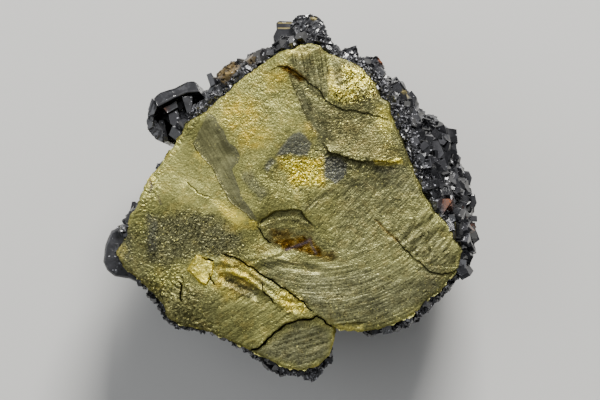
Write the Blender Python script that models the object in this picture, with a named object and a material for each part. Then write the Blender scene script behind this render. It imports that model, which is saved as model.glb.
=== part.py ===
# A broken lump of massive chalcopyrite with black sphalerite crystals grown round its flank.
# It lies on its back, with the broken face up. Run it with blender --background --python part.py
import math
import random

import bmesh
import bpy
import numpy as np
from mathutils import Matrix, Vector, noise
from mathutils.bvhtree import BVHTree
from mathutils.geometry import delaunay_2d_cdt

# Driving sizes, in metres
SPECIMEN_WIDTH = 0.0796     # over the crystals, left to right
FACE_HEIGHT = 0.034         # mean height of the broken face
BELT_HEIGHT = 0.017         # height at which the lump is widest
MESH_SPACING = 0.0023       # between the points on the broken face
CRYSTAL_GAP = 0.0004        # between the lump and the crystals on it
RIM_ROLL = 0.0009           # width of the worn rim
RIM_DROP = 0.0004           # and how far it drops
NOISE_SEED = 5              # of the flank's lumps and chips
MM = 0.001

# The outlines are read off the picture, in pixels from its top left corner
SPECIMEN_PIXELS = 379       # the specimen's width there
PICTURE_CENTRE = (292, 199)
PIXEL = SPECIMEN_WIDTH / SPECIMEN_PIXELS

RIM = [
    (310, 44), (320, 46), (327, 53), (347, 60), (361, 68), (369, 77), (376, 87), (380, 98),
    (388, 103), (390, 118), (393, 124), (401, 142), (409, 161), (417, 180), (423, 195),
    (436, 214), (452, 230), (462, 249), (460, 268), (447, 281), (440, 292), (430, 297),
    (425, 304), (416, 313), (403, 320), (389, 326), (378, 330), (362, 332), (348, 331),
    (336, 329), (332, 325), (334, 340), (329, 356), (318, 367), (302, 371), (284, 368),
    (267, 359), (251, 351), (230, 341), (209, 332), (187, 327), (168, 319), (163, 305),
    (155, 295), (139, 280), (123, 268), (116, 252), (120, 246), (128, 235), (128, 224),
    (130, 215), (138, 205), (139, 200), (144, 190), (147, 180), (152, 174), (163, 161),
    (174, 145), (182, 134), (186, 125), (193, 119), (207, 111), (216, 102), (230, 90),
    (245, 76), (262, 65), (278, 54), (286, 50), (294, 49), (300, 45),
]

# Plates of the broken face: centre and radius in pixels, height in mm over FACE_HEIGHT,
# then how much it rises to the right and down the picture, in mm per mm
PLATES = {
    "upper left plateau": (258, 130, 42, 2.3, 0.03, 0.08),
    "upper left edge": (222, 105, 22, 1.4, 0.12, 0.10),
    "fibrous band": (310, 76, 20, 2.0, -0.16, 0.02),
    "bright corner": (354, 78, 22, 1.2, -0.05, 0.20),
    "olive field": (362, 132, 30, 1.3, -0.06, -0.02),
    "granular field": (310, 180, 32, 1.4, -0.02, 0.05),
    "dish": (360, 220, 40, 0.3, -0.03, 0.01),
    "dish right end": (432, 245, 28, -0.6, -0.10, -0.02),
    "dish lower side": (390, 295, 38, -0.6, -0.08, -0.12),
    "dish foot": (322, 282, 32, 0.0, 0.00, -0.03),
    "lens dip": (285, 232, 18, 0.0, 0.00, -0.04),
    "left plane": (202, 182, 34, 0.4, 0.02, 0.09),
    "dark slope": (182, 238, 32, -0.5, 0.06, -0.22),
    "left end": (140, 245, 20, -1.8, 0.24, -0.14),
    "lower left plane": (245, 300, 32, -0.9, 0.02, -0.10),
    "lower left edge": (205, 322, 20, -2.6, 0.10, -0.34),
    "lower block": (296, 345, 30, -2.2, -0.04, -0.12),
}

# Seams of the face. The ground on the right of a line, walking along it, drops by drop mm
# over ramp mm and comes back up over reach mm. A crack cuts depth mm down, half mm each side.
SEAMS = {
    "wedge upper edge": dict(
        line=[(208, 113), (216, 118), (225, 134), (237, 149), (240, 156), (232, 169), (238, 186),
              (243, 199), (257, 219)],
        drop=1.4, ramp=0.9, reach=5.0),
    "wedge lower edge": dict(
        line=[(255, 221), (238, 208), (227, 196), (218, 181), (211, 166), (197, 151), (193, 144)],
        drop=0.4, ramp=0.3, reach=2.5),
    "olive field edge": dict(
        line=[(393, 163), (365, 162), (349, 160), (335, 154), (323, 144)],
        drop=-0.9, ramp=0.25, reach=6.0),
    "right ledge": dict(
        line=[(402, 161), (388, 165), (373, 165)],
        drop=-0.6, ramp=0.3, reach=2.0),
    "plateau ridge": dict(
        line=[(314, 135), (303, 112), (296, 96), (291, 83), (287, 71)],
        drop=0.5, ramp=0.5, reach=6.0),
    "lens upper edge": dict(
        line=[(314, 226), (305, 218), (294, 210), (276, 212), (258, 224)],
        drop=-0.6, ramp=0.3, reach=3.5),
    "lens lower edge": dict(
        line=[(249, 262), (255, 261), (268, 255), (282, 251)],
        drop=-0.5, ramp=0.4, reach=2.5),
    "fold": dict(
        line=[(229, 273), (239, 277), (252, 284), (262, 291)],
        drop=0.9, ramp=0.8, reach=2.6),
    "bottom ledge": dict(
        line=[(334, 324), (342, 323), (354, 322), (366, 321)],
        drop=0.7, ramp=0.3, reach=3.0),
    "main crack": dict(
        line=[(222, 254), (234, 257), (248, 266), (264, 276), (277, 284), (289, 291), (298, 298),
              (306, 305), (313, 312)],
        drop=0.3, ramp=0.25, reach=6.0, depth=1.3, half=0.25),
    "block crack": dict(
        line=[(332, 326), (326, 324), (317, 316), (300, 320), (282, 327), (267, 340), (259, 348),
              (250, 351)],
        drop=-1.1, ramp=0.3, reach=9.0, depth=2.4, half=0.34),
    "upper crack": dict(
        line=[(270, 71), (278, 67), (287, 67), (297, 73), (313, 86), (324, 98), (331, 104),
              (349, 110), (370, 114), (392, 121)],
        drop=0.25, ramp=0.3, reach=4.0, depth=0.6, half=0.22),
    "right crack": dict(
        line=[(379, 223), (401, 245), (415, 259), (426, 268), (441, 274), (460, 270)],
        drop=0.3, ramp=0.3, reach=4.0, depth=0.8, half=0.24),
}

# Raised facet at the head of the lower left plane
FACET = [(195, 255), (215, 263), (212, 274), (207, 285), (200, 284), (188, 269)]
FACET_RISE = 0.7

# How far the widest level stands outside the rim, in mm, by the angle round the lump in degrees
BELT = [
    (-180, -2.2), (-165, -0.8), (-150, -2.4), (-105, -2.4), (-90, -1.0), (-75, -2.4), (-50, -2.4),
    (-28, -1.6), (-12, 2.0), (0, 6.4), (15, 7.6), (30, 5.2), (42, 2.4), (55, 0.2), (72, -1.2),
    (95, -0.5), (120, 0.2), (140, 0.8), (155, -2.0), (180, -2.2),
]

# Rings of the flank from the rim down: share of the belt's offset, how much of the rim's
# corners is smoothed out, height between the belt at 0 and the rim at 1, a further offset in mm,
# and the share of the lumps and chips
FLANK_RINGS = [
    (0.10, 0.0, 0.92, 0.0, 0.3, 0.4),
    (0.50, 0.3, 0.72, 0.0, 0.8, 0.9),
    (0.90, 0.7, 0.40, 0.0, 1.0, 1.0),
    (1.00, 1.0, 0.0, 0.0, 1.0, 1.0),
    (0.80, 1.0, -0.5, -4.5, 0.8, 0.0),
]
FLANK_LUMPS = (0.0020, 0.009)   # height and spacing of the flank's broad lumps, in metres
FLANK_CHIPS = (0.0009, 0.0035)  # and of its small chips

# The flat broken patch underneath that it rests on, and the rough ground round it
REST_RADII = (21.0, 18.0)   # mm along X and Y
REST_CORNERS = 13
UNDERSIDE_TRIES = 240       # random spots tried for a point of the underside
UNDERSIDE_SPACING = 3.0     # mm that such points keep from one another
UNDERSIDE_EDGE = 1.6        # mm that they keep from its edges
UNDERSIDE_LOWEST = 0.8      # mm above the flat patch that they stay
UNDERSIDE_ROUGH = (0.0016, 0.005)   # height and spacing of its lumps, in metres

# Crusts of crystals that have grown together. By the angle round the lump in degrees: the
# crust's lowest and highest edge, its thickness and its crystals' mean width, all in mm.
CRUSTS = {
    "main_crystal_crust": dict(count=140, seed=5, profile=[
        (-60, 10.0, 29.5, 1.2, 2.6), (-42, 8.0, 31.5, 1.3, 2.9), (-25, 7.0, 31.8, 1.4, 3.2),
        (-10, 6.0, 32.0, 2.0, 3.9), (20, 5.0, 32.6, 2.2, 4.1), (50, 6.5, 33.0, 2.0, 3.6),
        (72, 8.0, 33.2, 1.6, 3.3), (98, 9.0, 33.0, 1.6, 3.4), (125, 8.0, 32.8, 1.6, 3.8),
        (151, 12.0, 31.0, 1.4, 3.4)]),
    "lower_left_crystal_crust": dict(count=58, seed=8, profile=[
        (-177, 13.0, 26.0, 1.4, 3.0), (-162, 8.0, 28.5, 1.5, 3.2), (-146, 7.0, 28.8, 1.3, 2.8),
        (-115, 6.5, 28.6, 1.3, 2.8), (-95, 6.5, 29.5, 1.6, 3.0), (-77, 11.0, 29.0, 1.4, 2.8)]),
    "small_left_crystal": dict(count=5, seed=10, profile=[
        (166, 20.0, 29.5, 1.3, 2.6), (173, 20.0, 30.0, 1.3, 2.6)]),
}

# Large crystals with flat faces: outline in picture pixels, bottom and top in mm, how much the
# top rises to the right and down the picture in mm per mm, and how far the foot is drawn in
# towards the lump in mm
SLABS = {
    "main_crystal_crust": {
        "root": ([(207, 108), (197, 86), (160, 98), (151, 116), (158, 134), (178, 137)],
                 10, 22, 0, 0, 7),
        "long slab": ([(154, 93), (192, 80), (199, 91), (157, 107)], 20, 30.5, 0.05, 0.15, 2),
        "curved band top": ([(153, 94), (149, 110), (155, 113), (160, 100)],
                            19, 29.5, 0.1, 0.1, 2),
        "curved band middle": ([(150, 106), (146, 124), (152, 128), (156, 110)],
                               18, 28.8, 0.3, 0, 2),
        "curved band foot": (
            [(146, 121), (150, 133), (160, 140), (167, 141), (164, 131), (153, 122)],
            17, 28.0, 0.1, -0.3, 2),
        "inner step": ([(160, 109), (176, 102), (180, 110), (163, 118)], 19, 25.5, 0, 0.2, 0),
        "inner face": ([(167, 114), (179, 109), (182, 124), (170, 129)], 19, 27.0, -0.1, -0.2, 0),
        "dark step": ([(176, 101), (186, 98), (191, 114), (182, 122)], 19, 24.5, 0, 0, 0),
        "narrow step": ([(184, 97), (190, 94), (197, 112), (190, 118)], 19, 27.5, -0.3, 0, 0),
        "shoulder": ([(190, 105), (203, 98), (208, 110), (194, 118)], 17, 31.0, 0, -0.2, 0),
        "bent plate": ([(206, 73), (213, 72), (217, 86), (211, 100), (204, 99), (210, 86)],
                       18, 29.5, 0.2, 0, 3),
        "brown lump": ([(214, 71), (234, 59), (241, 72), (226, 86), (217, 84)],
                       19, 29.0, 0, -0.2, 3),
        "granular lump": ([(212, 88), (224, 82), (232, 90), (218, 100)], 22, 31.5, 0, 0.1, 0),
        "grey lump": ([(240, 73), (243, 60), (256, 59), (262, 66), (248, 78)],
                      23, 31.5, 0, 0, 2),
        "upper lump": ([(252, 59), (259, 48), (270, 50), (272, 58), (262, 66)],
                       22, 31.0, 0.1, 0, 2),
        "left prism": ([(275, 27), (279, 19), (291, 15), (295, 24), (294, 40), (276, 40)],
                       19, 29.5, 0.1, 0.15, 3),
        "rounded crystal": ([(273, 40), (291, 39), (292, 50), (279, 53)], 22, 31.0, 0, -0.1, 2),
        "pitted crystal": (
            [(291, 24), (296, 14), (305, 12.5), (317, 15), (325, 22), (329, 34), (325, 47),
             (300, 46), (291, 40)], 17, 31.0, -0.05, 0.15, 4),
        "side lump": ([(318, 34), (332, 38), (335, 52), (320, 47)], 20, 32.0, 0, 0, 2),
        "upper bump": ([(342, 56), (344, 46), (357, 45), (360, 54), (352, 62)],
                       22, 31.5, 0, 0, 2),
        "rim bump": ([(362, 66), (366, 54), (379, 56), (386, 66), (374, 78)], 22, 31, 0, 0, 2),
        "dark shoulder": ([(388, 84), (400, 80), (408, 92), (400, 104), (388, 98)],
                          20, 30.0, 0, 0, 2),
        "white face": ([(438, 126), (445, 123), (448, 134), (441, 137)], 19, 26.5, 0, -0.4, 2),
        "square block": ([(447, 142), (457, 142), (459, 153), (448, 153)], 16, 24, 0.2, 0, 2),
        "bright plate": ([(433, 153), (437, 149), (451, 156), (447, 163)], 19, 27, 0, 0.1, 2),
        "tall prism": ([(449, 160), (457, 158), (460, 178), (452, 181)], 16, 24, 0, 0.1, 2),
        "side block": ([(464, 170), (472, 171), (474, 184), (466, 184)], 13, 20.5, 0.2, 0, 2),
        "outer block": ([(468, 193), (477, 194), (479, 209), (469, 209)], 12, 20, 0, -0.1, 2),
        "level plate": ([(459, 215), (479, 216), (479, 223), (460, 222)], 15, 22, 0, 0.2, 2),
        "outer tip": ([(469, 234), (479, 233), (482, 240), (474, 247)], 14, 21, 0, 0, 3),
    },
    "lower_left_crystal_crust": {
        "corner crystal": ([(300, 369), (318, 366), (324, 374), (314, 384), (304, 383)],
                           20, 28.5, 0, -0.1, 3),
    },
}

# The large smooth crystal at the left: outline in picture pixels and heights in mm
LEFT_CRYSTAL = dict(
    crust="lower_left_crystal_crust",
    outline=[(118, 227), (110, 231), (104, 245), (102, 262), (106, 271), (114, 277), (128, 279),
             (138, 284), (142, 262), (134, 236)],
    low=13.0, middle=19.0, high=27.0, shrink=0.62)

CRUST_SPACING = 4.4         # mm between the points of a crust's outer surface
CRUST_ROOT = 1.2            # mm that a crust reaches into the lump before it is cut to fit
CRUST_THINNEST = 1.1        # mm, the least a crust stands proud
CRUST_EDGE = 2.5            # mm by which a crust's upper and lower edges wander
CRYSTAL_TILT = 0.9          # the most that a small crystal leans off its flank, in radians
CRYSTAL_SINK = 0.2          # how deep its middle sits in the crust, in its own widths
CRYSTAL_CROWDING = 0.75     # below 1, the small crystals crowd towards the face
CRYSTAL_CHOICES = 5         # random seats that each small crystal chooses from
# A block's faces, by the numbers of its corners; the last three stand round the cut corner
BLOCK_FACES = [(0, 1, 3, 2), (0, 1, 5, 4), (0, 2, 6, 4), (4, 5, 8, 9, 6), (2, 3, 7, 9, 6),
               (1, 3, 7, 8, 5), (7, 8, 9)]

FLAT_TURN = math.radians(4.0)   # faces that differ by less count as one
SHED_ROUNDS = 3
SLIVER_AREA = 1e-10         # twice the area, in square metres, below which a face has no direction
CUTTER_TOP = 0.06           # height of the cutter that keeps crystals off the face

STONE_LOOKS = {
    "chalcopyrite": ((0.36, 0.32, 0.13, 1.0), 0.42, 0.85),
    "black_sphalerite": ((0.012, 0.012, 0.013, 1.0), 0.2, 0.0),
}


def clear_scene():
    for old in list(bpy.data.objects):
        bpy.data.objects.remove(old, do_unlink=True)


def stone(name):
    colour, roughness, metallic = STONE_LOOKS[name]
    material = bpy.data.materials.new(name)
    material.use_nodes = True
    shader = material.node_tree.nodes["Principled BSDF"]
    shader.inputs["Base Color"].default_value = colour
    shader.inputs["Roughness"].default_value = roughness
    shader.inputs["Metallic"].default_value = metallic
    material.diffuse_color = colour
    return material


def place(pixel):
    """A picture point as metres on the floor plan, seen from above."""
    return ((pixel[0] - PICTURE_CENTRE[0]) * PIXEL, (PICTURE_CENTRE[1] - pixel[1]) * PIXEL)


def places(line):
    return np.array([place(p) for p in line])


def off_line(points, line, closed=False):
    """Distance to a line, which side of it, and the share of its length at the nearest point.
    The side is 1 on the right of an open line and inside a closed one, else -1."""
    nearest = np.full(len(points), np.inf)
    ranked = nearest.copy()
    side = np.ones(len(points))
    along = np.zeros(len(points))
    inside = np.zeros(len(points), bool)
    ends = np.roll(line, -1, axis=0) if closed else line[1:]
    starts = line if closed else line[:-1]
    lengths = np.linalg.norm(ends - starts, axis=1)
    walked = np.concatenate([[0.0], np.cumsum(lengths)])
    for start, end, length, done in zip(starts, ends, lengths, walked):
        run = (end - start) / length
        away = points - start
        t = np.clip(away @ run, 0.0, length)
        gap = away - t[:, None] * run
        distance = np.hypot(gap[:, 0], gap[:, 1])
        cross = run[0] * away[:, 1] - run[1] * away[:, 0]
        rank = distance - np.abs(cross) * 1e-3   # at a corner, the run that faces the point
        closer = rank < ranked
        side = np.where(closer, np.where(cross < 0, 1.0, -1.0), side)
        along = np.where(closer, (done + t) / walked[-1], along)
        nearest = np.where(closer, distance, nearest)
        ranked = np.where(closer, rank, ranked)
        spans = (start[1] > points[:, 1]) != (end[1] > points[:, 1])
        rise = end[1] - start[1] or 1.0
        crossing = start[0] + (points[:, 1] - start[1]) * (end[0] - start[0]) / rise
        inside ^= spans & (points[:, 0] < crossing)
    if closed:
        side = np.where(inside, 1.0, -1.0)
    return nearest, side, along


def smooth(t):
    t = np.clip(t, 0.0, 1.0)
    return t * t * (3.0 - 2.0 * t)


def face_height(points):
    """Height of the broken face over points given in metres on the plan."""
    total = np.zeros(len(points))
    weights = np.zeros(len(points)) + 1e-9
    for px, py, radius, height, rise_right, rise_down in PLATES.values():
        away = points - np.array(place((px, py)))
        weight = np.exp(-(away ** 2).sum(axis=1) / (radius * PIXEL) ** 2)
        total += weight * (height * MM + away[:, 0] * rise_right - away[:, 1] * rise_down)
        weights += weight
    relief = total / weights
    for seam in SEAMS.values():
        distance, side, along = off_line(points, places(seam["line"]))
        signed = distance * side
        fall = smooth(signed / (seam["ramp"] * MM))
        fall *= np.exp(-np.maximum(signed, 0.0) / (seam["reach"] * MM))
        taper = smooth(np.minimum(along, 1.0 - along) * 7.0)
        relief -= seam["drop"] * MM * fall * taper
        if "depth" in seam:
            taper = smooth(np.minimum(along, 1.0 - along) * 12.0 + 0.3)
            cut = np.clip(1.0 - distance / (seam["half"] * MM), 0.0, 1.0)
            relief -= seam["depth"] * MM * cut * taper
    distance, side, _ = off_line(points, places(FACET), closed=True)
    relief += FACET_RISE * MM * smooth(distance * side / (0.5 * MM))
    distance, _, _ = off_line(points, places(RIM), closed=True)
    relief -= RIM_DROP * (1.0 - smooth(distance / RIM_ROLL))
    return FACE_HEIGHT + relief


def seam_chains(seam):
    """A seam's own line, and the lines beside it where its ramp or its walls end."""
    line = places(seam["line"])
    runs = np.gradient(line, axis=0)
    runs /= np.linalg.norm(runs, axis=1)[:, None]
    right = np.stack([runs[:, 1], -runs[:, 0]], axis=1)
    inner = slice(1, -1)
    chains = [line, (line + right * seam.get("half", seam["ramp"]) * MM)[inner]]
    if "half" in seam:
        chains.append((line - right * seam["half"] * MM)[inner])
    return chains


def add_chain(points, edges, chain, rim):
    """Adds a chain's points and edges, without what comes too close to the rim."""
    distance, side, _ = off_line(chain, rim, closed=True)
    previous = None
    for spot, gap in zip(chain, distance * side):
        if gap < 0.5 * MM:
            previous = None
            continue
        points.append(Vector(spot))
        if previous is not None:
            edges.append((previous, len(points) - 1))
        previous = len(points) - 1


def face_mesh(rng):
    """The broken face: its points on the plan, their heights, and its triangles."""
    rim = places(RIM)
    points = [Vector(p) for p in rim]
    edges = []
    for seam in SEAMS.values():
        for chain in seam_chains(seam):
            add_chain(points, edges, chain, rim)
    add_chain(points, edges, places(FACET + FACET[:1]), rim)
    lines = np.array([p[:] for p in points])
    reach = int(SPECIMEN_WIDTH / MESH_SPACING / 2) + 1
    for row in range(-reach, reach + 1):
        for column in range(-reach, reach + 1):
            spot = np.array([column + 0.5 * (row % 2), row * 0.87]) * MESH_SPACING
            spot += np.array([rng.uniform(-0.28, 0.28), rng.uniform(-0.28, 0.28)]) * MESH_SPACING
            if np.min(np.hypot(*(lines - spot).T)) > MESH_SPACING * 0.45:
                points.append(Vector(spot))
    plan, faces = triangles_inside(points, edges, [list(range(len(rim)))])
    return plan, face_height(plan), faces


def triangles_inside(points, edges, loops):
    """Triangles within the first loop and outside any others. All loops run clockwise."""
    found = delaunay_2d_cdt(points, edges, [loop[::-1] for loop in loops], 0, 1e-6, True)
    plan = np.array([v[:] for v in found[0]])
    return plan, [face for face, origin in zip(found[2], found[5]) if list(origin) == [0]]


def belt_offset(angle):
    angles, offsets = zip(*BELT)
    return float(np.interp(angle, angles, offsets)) * MM


def rough(spot, lumps, share):
    """A repeatable three-way noise offset for a point."""
    height, spacing = lumps
    return noise.noise_vector(spot / spacing) * height * share


def flank_rings(rim_heights):
    """Rings of points from just under the rim down to where the underside turns in."""
    rim = places(RIM)
    angles = [math.degrees(math.atan2(y, x)) for x, y in rim]
    radii = np.hypot(rim[:, 0], rim[:, 1])
    window = np.array([1, 2, 3, 2, 1]) / 9.0
    even = np.convolve(np.concatenate([radii[-2:], radii, radii[:2]]), window, mode="valid")
    rings = []
    for share, calmed, level, extra, lumps, chips in FLANK_RINGS:
        ring = []
        for (x, y), angle, radius, calm, top in zip(rim, angles, radii, even, rim_heights):
            reach = radius + (calm - radius) * calmed + belt_offset(angle) * share + extra * MM
            height = BELT_HEIGHT + (top - BELT_HEIGHT) * level
            spot = Vector((x / radius * reach, y / radius * reach, height))
            spot += rough(spot, FLANK_LUMPS, lumps)
            spot += rough(spot, FLANK_CHIPS, chips)
            ring.append(spot)
        rings.append(ring)
    return rings


def rest_outline(rng):
    corners = []
    for step in range(REST_CORNERS):
        turn = -math.tau * (step + rng.uniform(-0.2, 0.2)) / REST_CORNERS
        swell = rng.uniform(0.88, 1.08)
        corners.append(Vector((
            math.cos(turn) * REST_RADII[0] * swell * MM,
            math.sin(turn) * REST_RADII[1] * swell * MM,
            0.0)))
    return corners


def underside(ring, corners, rng):
    """Triangles between the lowest ring and the flat patch, as spots and faces."""
    ring_plan = np.array([v[:2] for v in ring])
    flat_plan = np.array([v[:2] for v in corners])
    points = [Vector(p) for p in ring_plan] + [Vector(p) for p in flat_plan]
    half = SPECIMEN_WIDTH / 2
    for _ in range(UNDERSIDE_TRIES):
        spot = np.array([rng.uniform(-half, half), rng.uniform(-half, half)])
        to_ring, in_ring, _ = off_line(spot[None, :], ring_plan, closed=True)
        to_flat, in_flat, _ = off_line(spot[None, :], flat_plan, closed=True)
        if in_ring[0] < 0 or in_flat[0] > 0:
            continue
        if min(to_ring[0], to_flat[0]) < UNDERSIDE_EDGE * MM:
            continue
        others = np.array([p[:] for p in points[len(ring) + len(corners):]] or [(1.0, 1.0)])
        if np.min(np.hypot(*(others - spot).T)) > UNDERSIDE_SPACING * MM:
            points.append(Vector(spot))
    ring_loop = list(range(len(ring)))
    flat_loop = list(range(len(ring), len(ring) + len(corners)))
    plan, faces = triangles_inside(points, [], [ring_loop, flat_loop])
    to_ring, _, along = off_line(plan, ring_plan, closed=True)
    to_flat, _, _ = off_line(plan, flat_plan, closed=True)
    ring_heights = np.array([v.z for v in ring] + [ring[0].z])
    shares = np.linspace(0.0, 1.0, len(ring_heights))
    share = to_flat / (to_flat + to_ring + 1e-9)
    heights = np.interp(along, shares, ring_heights) * share ** 0.85
    spots = []
    for index, ((x, y), height) in enumerate(zip(plan, heights)):
        spot = Vector((x, y, height))
        if index < len(ring):
            spot = ring[index].copy()
        elif index < len(ring) + len(corners):
            spot = corners[index - len(ring)].copy()
        else:
            height, spacing = UNDERSIDE_ROUGH
            spot.z = max(UNDERSIDE_LOWEST * MM, spot.z + noise.noise(spot / spacing) * height)
        spots.append(spot)
    return spots, faces, flat_loop


def flank_faces(mesh, upper, lower):
    count = len(upper)
    for index in range(count):
        after = (index + 1) % count
        a, b, c, d = upper[index], upper[after], lower[after], lower[index]
        if (a.co - c.co).length < (b.co - d.co).length:
            mesh.faces.new((a, b, c))
            mesh.faces.new((a, c, d))
        else:
            mesh.faces.new((a, b, d))
            mesh.faces.new((b, c, d))


def lump_mesh():
    rng = random.Random(11)
    plan, heights, faces = face_mesh(rng)
    mesh = bmesh.new()
    verts = [mesh.verts.new((x, y, z)) for (x, y), z in zip(plan, heights)]
    for face in faces:
        mesh.faces.new([verts[i] for i in face])
    rim_verts = verts[:len(RIM)]
    rings = flank_rings([v.co.z for v in rim_verts])
    upper = rim_verts
    for ring in rings:
        lower = [mesh.verts.new(spot) for spot in ring]
        flank_faces(mesh, upper, lower)
        upper = lower
    corners = rest_outline(rng)
    spots, under_faces, flat_loop = underside(rings[-1], corners, rng)
    under_verts = list(upper) + [mesh.verts.new(spot) for spot in spots[len(upper):]]
    for face in under_faces:
        mesh.faces.new([under_verts[i] for i in face])
    mesh.faces.new([under_verts[i] for i in flat_loop])
    bmesh.ops.recalc_face_normals(mesh, faces=mesh.faces)
    return mesh, len(plan)


def clearance_cutter(lump, face_points):
    """The lump swollen by the crystals' gap, and carried up from its rim so that it clears
    the whole face."""
    mesh = lump.copy()
    mesh.verts.ensure_lookup_table()
    mesh.normal_update()
    rim = mesh.verts[:len(RIM)]
    away = [v.normal.copy() for v in mesh.verts]
    for vert in mesh.verts[face_points:]:
        vert.co += away[vert.index] * CRYSTAL_GAP * 1.2
    count = len(rim)
    top = []
    for index, vert in enumerate(rim):
        run = rim[(index + 1) % count].co - rim[index - 1].co
        side = Vector((-run.y, run.x, 0.0)).normalized()
        top.append(vert.co + side * CRYSTAL_GAP)
    for vert, spot in zip(rim, top):
        vert.co = spot
    bmesh.ops.delete(mesh, geom=mesh.verts[len(RIM):face_points], context="VERTS")
    mesh.verts.ensure_lookup_table()
    loose = [e for e in mesh.edges if not e.link_faces]
    bmesh.ops.delete(mesh, geom=loose, context="EDGES")
    mesh.verts.ensure_lookup_table()
    rim = mesh.verts[:len(RIM)]
    inner = [f for f in mesh.faces if all(v.index < len(RIM) for v in f.verts)]
    bmesh.ops.delete(mesh, geom=inner, context="FACES_ONLY")
    cap = [mesh.verts.new((v.co.x, v.co.y, CUTTER_TOP)) for v in rim]
    flank_faces(mesh, rim, cap)
    mesh.faces.new(cap)
    bmesh.ops.recalc_face_normals(mesh, faces=mesh.faces)
    return mesh


def meet_flank(tree, angle, height):
    """Where a level line towards the axis meets the lump, and which way the stone faces."""
    away = Vector((math.cos(angle), math.sin(angle), 0.0))
    spot, normal, _, _ = tree.ray_cast(away * SPECIMEN_WIDTH + Vector((0.0, 0.0, height)), -away)
    return spot, normal


def crust_at(crust, degrees):
    """A crust's lowest and highest edge, thickness and crystal width at an angle, in metres."""
    angles, *columns = zip(*crust["profile"])
    return [float(np.interp(degrees, angles, column)) * MM for column in columns]


def add_crust(mesh, tree, crust, rng):
    """A closed sheet of stone over part of the flank, from inside the lump outwards."""
    first, last = crust["profile"][0][0], crust["profile"][-1][0]
    columns = max(2, round(math.radians(last - first) * SPECIMEN_WIDTH * 0.45
                           / (CRUST_SPACING * MM)))
    tallest = max(row[2] - row[1] for row in crust["profile"])
    rows = max(2, round(tallest / CRUST_SPACING))
    inner, outer = [], []
    for column in range(columns + 1):
        degrees = first + (last - first) * column / columns
        low, high, thick, _ = crust_at(crust, degrees)
        wander = noise.noise(Vector((degrees / 9.0, 0.0, 0.0))) * CRUST_EDGE * MM
        for row in range(rows + 1):
            within = 0 < row < rows and 0 < column < columns
            share = (row + rng.uniform(-0.3, 0.3) * within) / rows
            angle = math.radians(degrees + rng.uniform(-0.35, 0.35) * (last - first) / columns)
            spot, normal = meet_flank(tree, angle, low + wander + (high - low - wander) * share)
            depth = max(CRUST_THINNEST * MM, thick * rng.uniform(0.7, 1.4))
            inner.append(mesh.verts.new(spot - normal * CRUST_ROOT * MM))
            outer.append(mesh.verts.new(spot + normal * depth))
    across = rows + 1
    for column in range(columns):
        for row in range(rows):
            a = column * across + row
            b, c, d = a + across, a + across + 1, a + 1
            for front in ((a, b, c), (a, c, d)):
                mesh.faces.new([outer[i] for i in front])
                mesh.faces.new([inner[i] for i in front[::-1]])
    bottom = [column * across for column in range(columns + 1)]
    right = [columns * across + row for row in range(1, across)]
    top = [column * across + rows for column in range(columns - 1, -1, -1)]
    left = list(range(rows - 1, 0, -1))
    loop = bottom + right + top + left
    for here, after in zip(loop, loop[1:] + loop[:1]):
        mesh.faces.new((outer[after], outer[here], inner[here]))
        mesh.faces.new((outer[after], inner[here], inner[after]))


def add_block(mesh, middle, turn, size, cut):
    """A block with one corner cut off."""
    corners = [Vector((x, y, z)) for x in (-1, 1) for y in (-1, 1) for z in (-1, 1)]
    points = [Vector((c.x * size.x, c.y * size.y, c.z * size.z)) * 0.5 for c in corners[:-1]]
    for axis in range(3):
        corner = size * 0.5
        corner[axis] -= size[axis] * cut
        points.append(corner)
    verts = [mesh.verts.new(middle + turn @ point) for point in points]
    for face in BLOCK_FACES:
        mesh.faces.new([verts[i] for i in face])


def crystal_seat(tree, crust, rng):
    """A random middle for a small crystal in the crust, with the flank's direction there and
    the crystal's width."""
    first, last = crust["profile"][0][0], crust["profile"][-1][0]
    degrees = rng.uniform(first + 1.0, last - 1.0)
    low, high, thick, wide = crust_at(crust, degrees)
    wide *= rng.uniform(0.7, 1.35)
    share = rng.random() ** CRYSTAL_CROWDING
    height = low + 0.4 * wide + (high - low - 0.9 * wide) * share
    spot, normal = meet_flank(tree, math.radians(degrees), height)
    return spot + normal * (thick - CRYSTAL_SINK * wide), normal, wide


def add_blocks(mesh, tree, crust, rng):
    """Small blocky crystals standing in the crust, each leaning its own way. Each takes the
    loneliest of a few random seats."""
    taken = [Vector()]
    for _ in range(crust["count"]):
        seats = [crystal_seat(tree, crust, rng) for _ in range(CRYSTAL_CHOICES)]
        middle, normal, wide = max(seats, key=lambda s: min((s[0] - t).length for t in taken))
        taken.append(middle)
        size = Vector((wide, wide * rng.uniform(0.5, 0.9), wide * rng.uniform(0.7, 1.4)))
        turn = normal.to_track_quat("Z", "Y").to_matrix()
        turn = turn @ Matrix.Rotation(rng.uniform(0.0, math.tau), 3, "Z")
        turn = turn @ Matrix.Rotation(rng.uniform(-CRYSTAL_TILT, CRYSTAL_TILT), 3, "X")
        add_block(mesh, middle, turn, size, rng.uniform(0.3, 0.6))


def add_slab(mesh, outline, low, high, rise_right, rise_down, draw_in):
    """A prism whose flat top leans, and whose foot is drawn in towards the lump."""
    plan = places(outline)
    middle = plan.mean(axis=0)
    inward = -middle / np.hypot(*middle) * draw_in * MM
    lower = [mesh.verts.new((x, y, low * MM)) for x, y in plan + inward]
    upper = []
    for x, y in plan:
        lift = (x - middle[0]) * rise_right - (y - middle[1]) * rise_down
        upper.append(mesh.verts.new((x, y, high * MM + lift)))
    mesh.faces.new(lower)
    mesh.faces.new(upper[::-1])
    count = len(plan)
    for index in range(count):
        after = (index + 1) % count
        mesh.faces.new((lower[after], lower[index], upper[index], upper[after]))


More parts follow.
